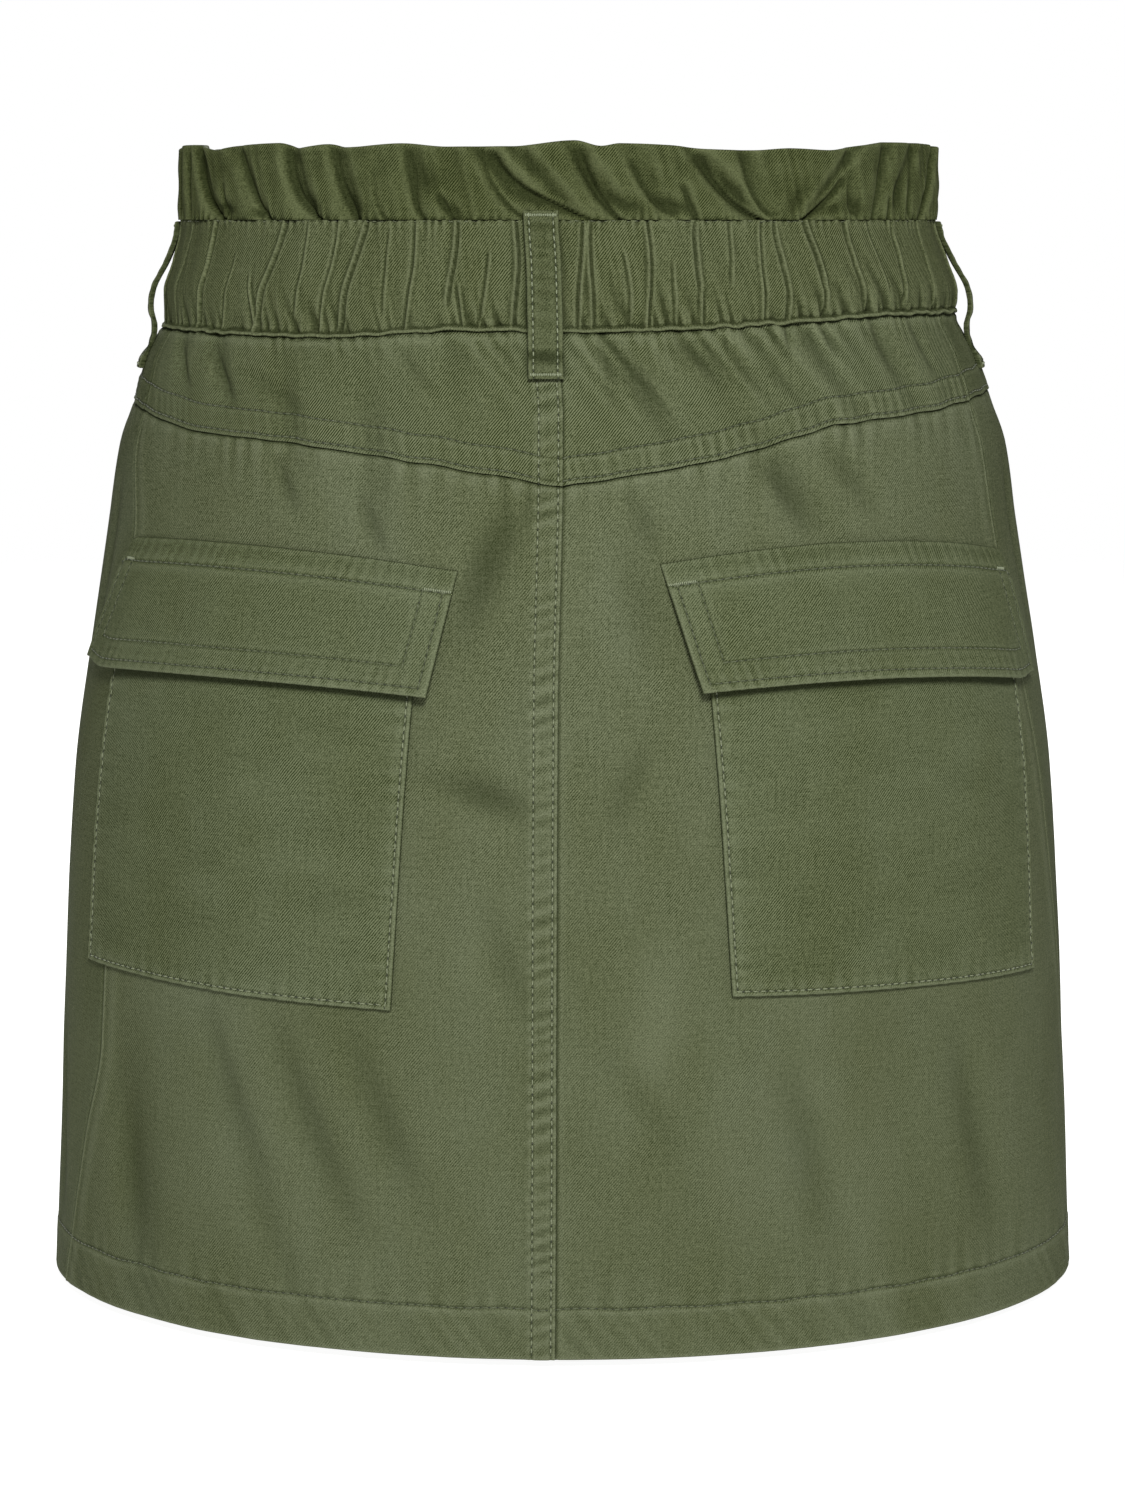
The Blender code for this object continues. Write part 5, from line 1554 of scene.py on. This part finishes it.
def rows_on_flap(shape):
    """One row along the top of a flap and two round its free edges."""
    top = FLAP_TOP_ROW / patch_sizes(flap_place, shape)[1]
    run = np.linspace(0.0, 1.0, ROW_POINTS)
    rows = [patch_row(flap_place, flap_lift, shape, 0.02 + 0.96 * run, np.full(ROW_POINTS, top))]
    return rows + [row_round(flap_place, flap_lift, shape, away, top) for away in FLAP_ROWS]


pocket_rows = [row_round(pocket_place, pocket_lift, shape, POCKET_ROW, POCKET_ROW_TOP)
               for shape in POCKETS.values()]
flap_rows = [row for shape in FLAPS.values() for row in rows_on_flap(shape)]
lay_threads("stitches_pockets", pocket_rows, STITCH, THREAD_SIZE, OLIVE_THREAD, 3)
lay_threads("stitches_flaps", flap_rows, STITCH, THREAD_SIZE, DARK_THREAD, 4)

# %% Rows and tacks in paler thread
TACK_INSET = 1.6
TACK_POINTS = 40
LOOP_POINTS = 200


def path_on_loop(loop, across, height):
    """Points on a belt loop."""
    lift = loop_face(loop, across, height) + SUNK
    return path_on(skirt, loop_share(loop, across, height), height, lift)


def rows_on_loop(loop):
    """Two rows down a belt loop."""
    height = np.linspace(loop["top"] - TACK_INSET, LOOP_FOOT + TACK_INSET, LOOP_POINTS)
    aside = np.full(LOOP_POINTS, 0.5 - LOOP_ROW / LOOP_WIDTH)
    return [path_on_loop(loop, across, height) for across in (-aside, aside)]


def tack_on_loop(loop, height):
    """A bar tack across a belt loop."""
    across = np.linspace(-0.42, 0.42, TACK_POINTS)
    return path_on_loop(loop, across, np.full(TACK_POINTS, height))


def tack_on_flap(shape, first, last):
    """A bar tack along the top of a flap, between two distances from its inner edge."""
    wide, tall = patch_sizes(flap_place, shape)
    out = np.linspace(first, last, TACK_POINTS) / wide
    down = np.full(TACK_POINTS, (FLAP_TOP_ROW - 0.6) / tall)
    return patch_row(flap_place, flap_lift, shape, out, down)


loop_rows = [row for loop in LOOPS.values() for row in rows_on_loop(loop)]
lay_threads("stitches_loops", loop_rows, 2.6, (2.0, 0.5, 0.42), PALE_THREAD, 5)
tacks = [tack_on_loop(loop, height) for loop in LOOPS.values()
         for height in (loop["top"] - TACK_INSET, LOOP_FOOT + TACK_INSET)]
for shape in FLAPS.values():
    wide = patch_sizes(flap_place, shape)[0]
    tacks += [tack_on_flap(shape, 0.6, 9.6), tack_on_flap(shape, wide - 11.0, wide - 6.0)]
lay_threads("bar_tacks", tacks, 0.62, (0.55, 1.1, 0.45), PALE_THREAD, 6, hole_shade=0.2)

# %% [markdown]
# ## What each piece is
# Every piece rides on the skirt's one body. Each sheet takes its material and hides the solid
# that it covers, and says the size of the cloth that shows: all the way round on a ring, and
# between its seams on a panel.

def sheet_size(made):
    """Half the area of a closed sheet, in square metres."""
    return 0.5 * sum(face.area for face in made.data.polygons)


SHEETS = {
    "ruffle": (RUFFLE_TWILL, "twill", (0.85, 0.028), "gathered", ["waistband"]),
    "waistband": (BAND_TWILL, "twill", (0.83, 0.038), "gathered", ["ruffle"]),
    "back_yoke_left": (YOKE_TWILL, "twill", (0.175, 0.046), "hung", ["waistband"]),
    "back_yoke_right": (YOKE_TWILL, "twill", (0.17, 0.046), "hung", ["waistband"]),
    "front_yoke": (YOKE_TWILL, "twill", (0.50, 0.027), "hung", ["waistband"]),
    "back_panel_left": (TWILL, "twill", (0.205, 0.325), "hung", ["back_yoke_left"]),
    "back_panel_right": (TWILL, "twill", (0.235, 0.325), "hung", ["back_yoke_right"]),
    "front_panel": (TWILL, "twill", (0.57, 0.34), "hung", ["front_yoke"]),
    "pocket_left": (POCKET_TWILL, "pocket_twill", (0.13, 0.145), "laid", ["back_panel_left"]),
    "pocket_right": (POCKET_TWILL, "pocket_twill", (0.13, 0.145), "laid", ["back_panel_right"]),
    "flap_left": (POCKET_TWILL, "pocket_twill", (0.15, 0.046), "hung", ["back_panel_left"]),
    "flap_right": (POCKET_TWILL, "pocket_twill", (0.15, 0.046), "hung", ["back_panel_right"]),
    "belt_loop_centre": (LOOP_TWILL, "loop_twill", (0.012, 0.058), "folded", ["waistband"]),
    "belt_loop_left": (LOOP_TWILL, "loop_twill", (0.012, 0.058), "folded", ["waistband"]),
    "belt_loop_right": (LOOP_TWILL, "loop_twill", (0.012, 0.058), "folded", ["waistband"]),
}
for name, (material, slot, flat, held, rests_on) in SHEETS.items():
    made = pieces[name]
    made.data.materials.append(material)
    print("%s: shows %.4f square metres, cut %.4f" % (name, sheet_size(made), flat[0] * flat[1]))
    made.name = name + "_cloth"
    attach(made, "root")
    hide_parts(name)
STITCHED_ON = {"stitches_skirt": "twill", "stitches_back": "twill", "stitches_waist": "twill",
               "stitches_pockets": "pocket_twill", "stitches_flaps": "pocket_twill",
               "stitches_loops": "loop_twill", "bar_tacks": "loop_twill"}
for name, slot in STITCHED_ON.items():
    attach(pieces[name], "root")

# %% [markdown]
# ## Floor, light and camera
# A pale floor and a large soft light in front give an even, catalogue-like picture. The light
# comes from slightly above the camera, so that folds and flaps throw short, soft shadows.

# %% Floor
FLOOR_REACH = 3.0
FLOOR_CORNERS = 96


def lay_floor():
    """A wide, pale disc that fades out towards its rim."""
    turns = np.linspace(0.0, 2.0 * np.pi, FLOOR_CORNERS + 1)[:-1]
    points = [(FLOOR_REACH * math.cos(turn), FLOOR_REACH * math.sin(turn), HEM * MM - 0.004)
              for turn in turns]
    mesh = bpy.data.meshes.new("floor")
    mesh.from_pydata(points, [], [list(range(FLOOR_CORNERS))])
    paper = Finish("pale_floor", Roughness=0.9, Specular_IOR_Level=0.1,
                   Base_Color=colour(0.35, 0.35, 0.345), Emission_Color=colour(1.0, 1.0, 1.0),
                   Emission_Strength=0.94)
    at = paper.node("ShaderNodeTexCoord", output="Object")
    far = paper.node("ShaderNodeVectorMath", dict(operation="LENGTH"), {0: at}, "Value")
    paper.feed("Alpha", (1.4 - far * (1.4 / FLOOR_REACH)).held())
    mesh.materials.append(paper.material)
    add_object("floor", mesh)


lay_floor()

# %% Light
def soft_light(name, at, aim, size, power):
    """A square softbox aimed at a point."""
    light = bpy.data.lights.new(name, "AREA")
    light.shape = "SQUARE"
    light.size = size
    light.energy = power
    lamp = add_object(name, light)
    lamp.location = at
    lamp.rotation_euler = (Vector(aim) - Vector(at)).to_track_quat("-Z", "Y").to_euler()


def room(seen, lit):
    """A white room that lights less than it shows, as a photographer's flags make it."""
    world = bpy.data.worlds.new("studio")
    world.use_nodes = True
    tree = world.node_tree
    ray = tree.nodes.new("ShaderNodeLightPath")
    strength = add_node(tree, "ShaderNodeMapRange", values={
        "Value": ray.outputs["Is Camera Ray"], "To Min": lit, "To Max": seen})
    white = tree.nodes["Background"]
    white.inputs["Color"].default_value = colour(1.0, 1.0, 1.0)
    tree.links.new(strength.outputs[0], white.inputs["Strength"])
    bpy.context.scene.world = world


soft_light("key", (0.14, -1.8, 0.90), (0.0, 0.0, -0.20), 0.42, 56.0)
soft_light("behind", (-0.2, 2.1, 1.0), (0.0, 0.0, -0.20), 0.9, 60.0)
room(1.0, 0.28)
bpy.context.scene.view_settings.view_transform = "Standard"

# %% Camera
DISTANCE = 1.341
EYE_HEIGHT = 0.020
PITCH = math.radians(8.409)
camera = add_object("camera", bpy.data.cameras.new("camera"))
camera.data.lens = 86.2
camera.data.sensor_width = 36.0
camera.location = (0.0, -DISTANCE, EYE_HEIGHT)
camera.rotation_euler = (math.pi / 2 - PITCH, 0.0, 0.0)
bpy.context.scene.camera = camera
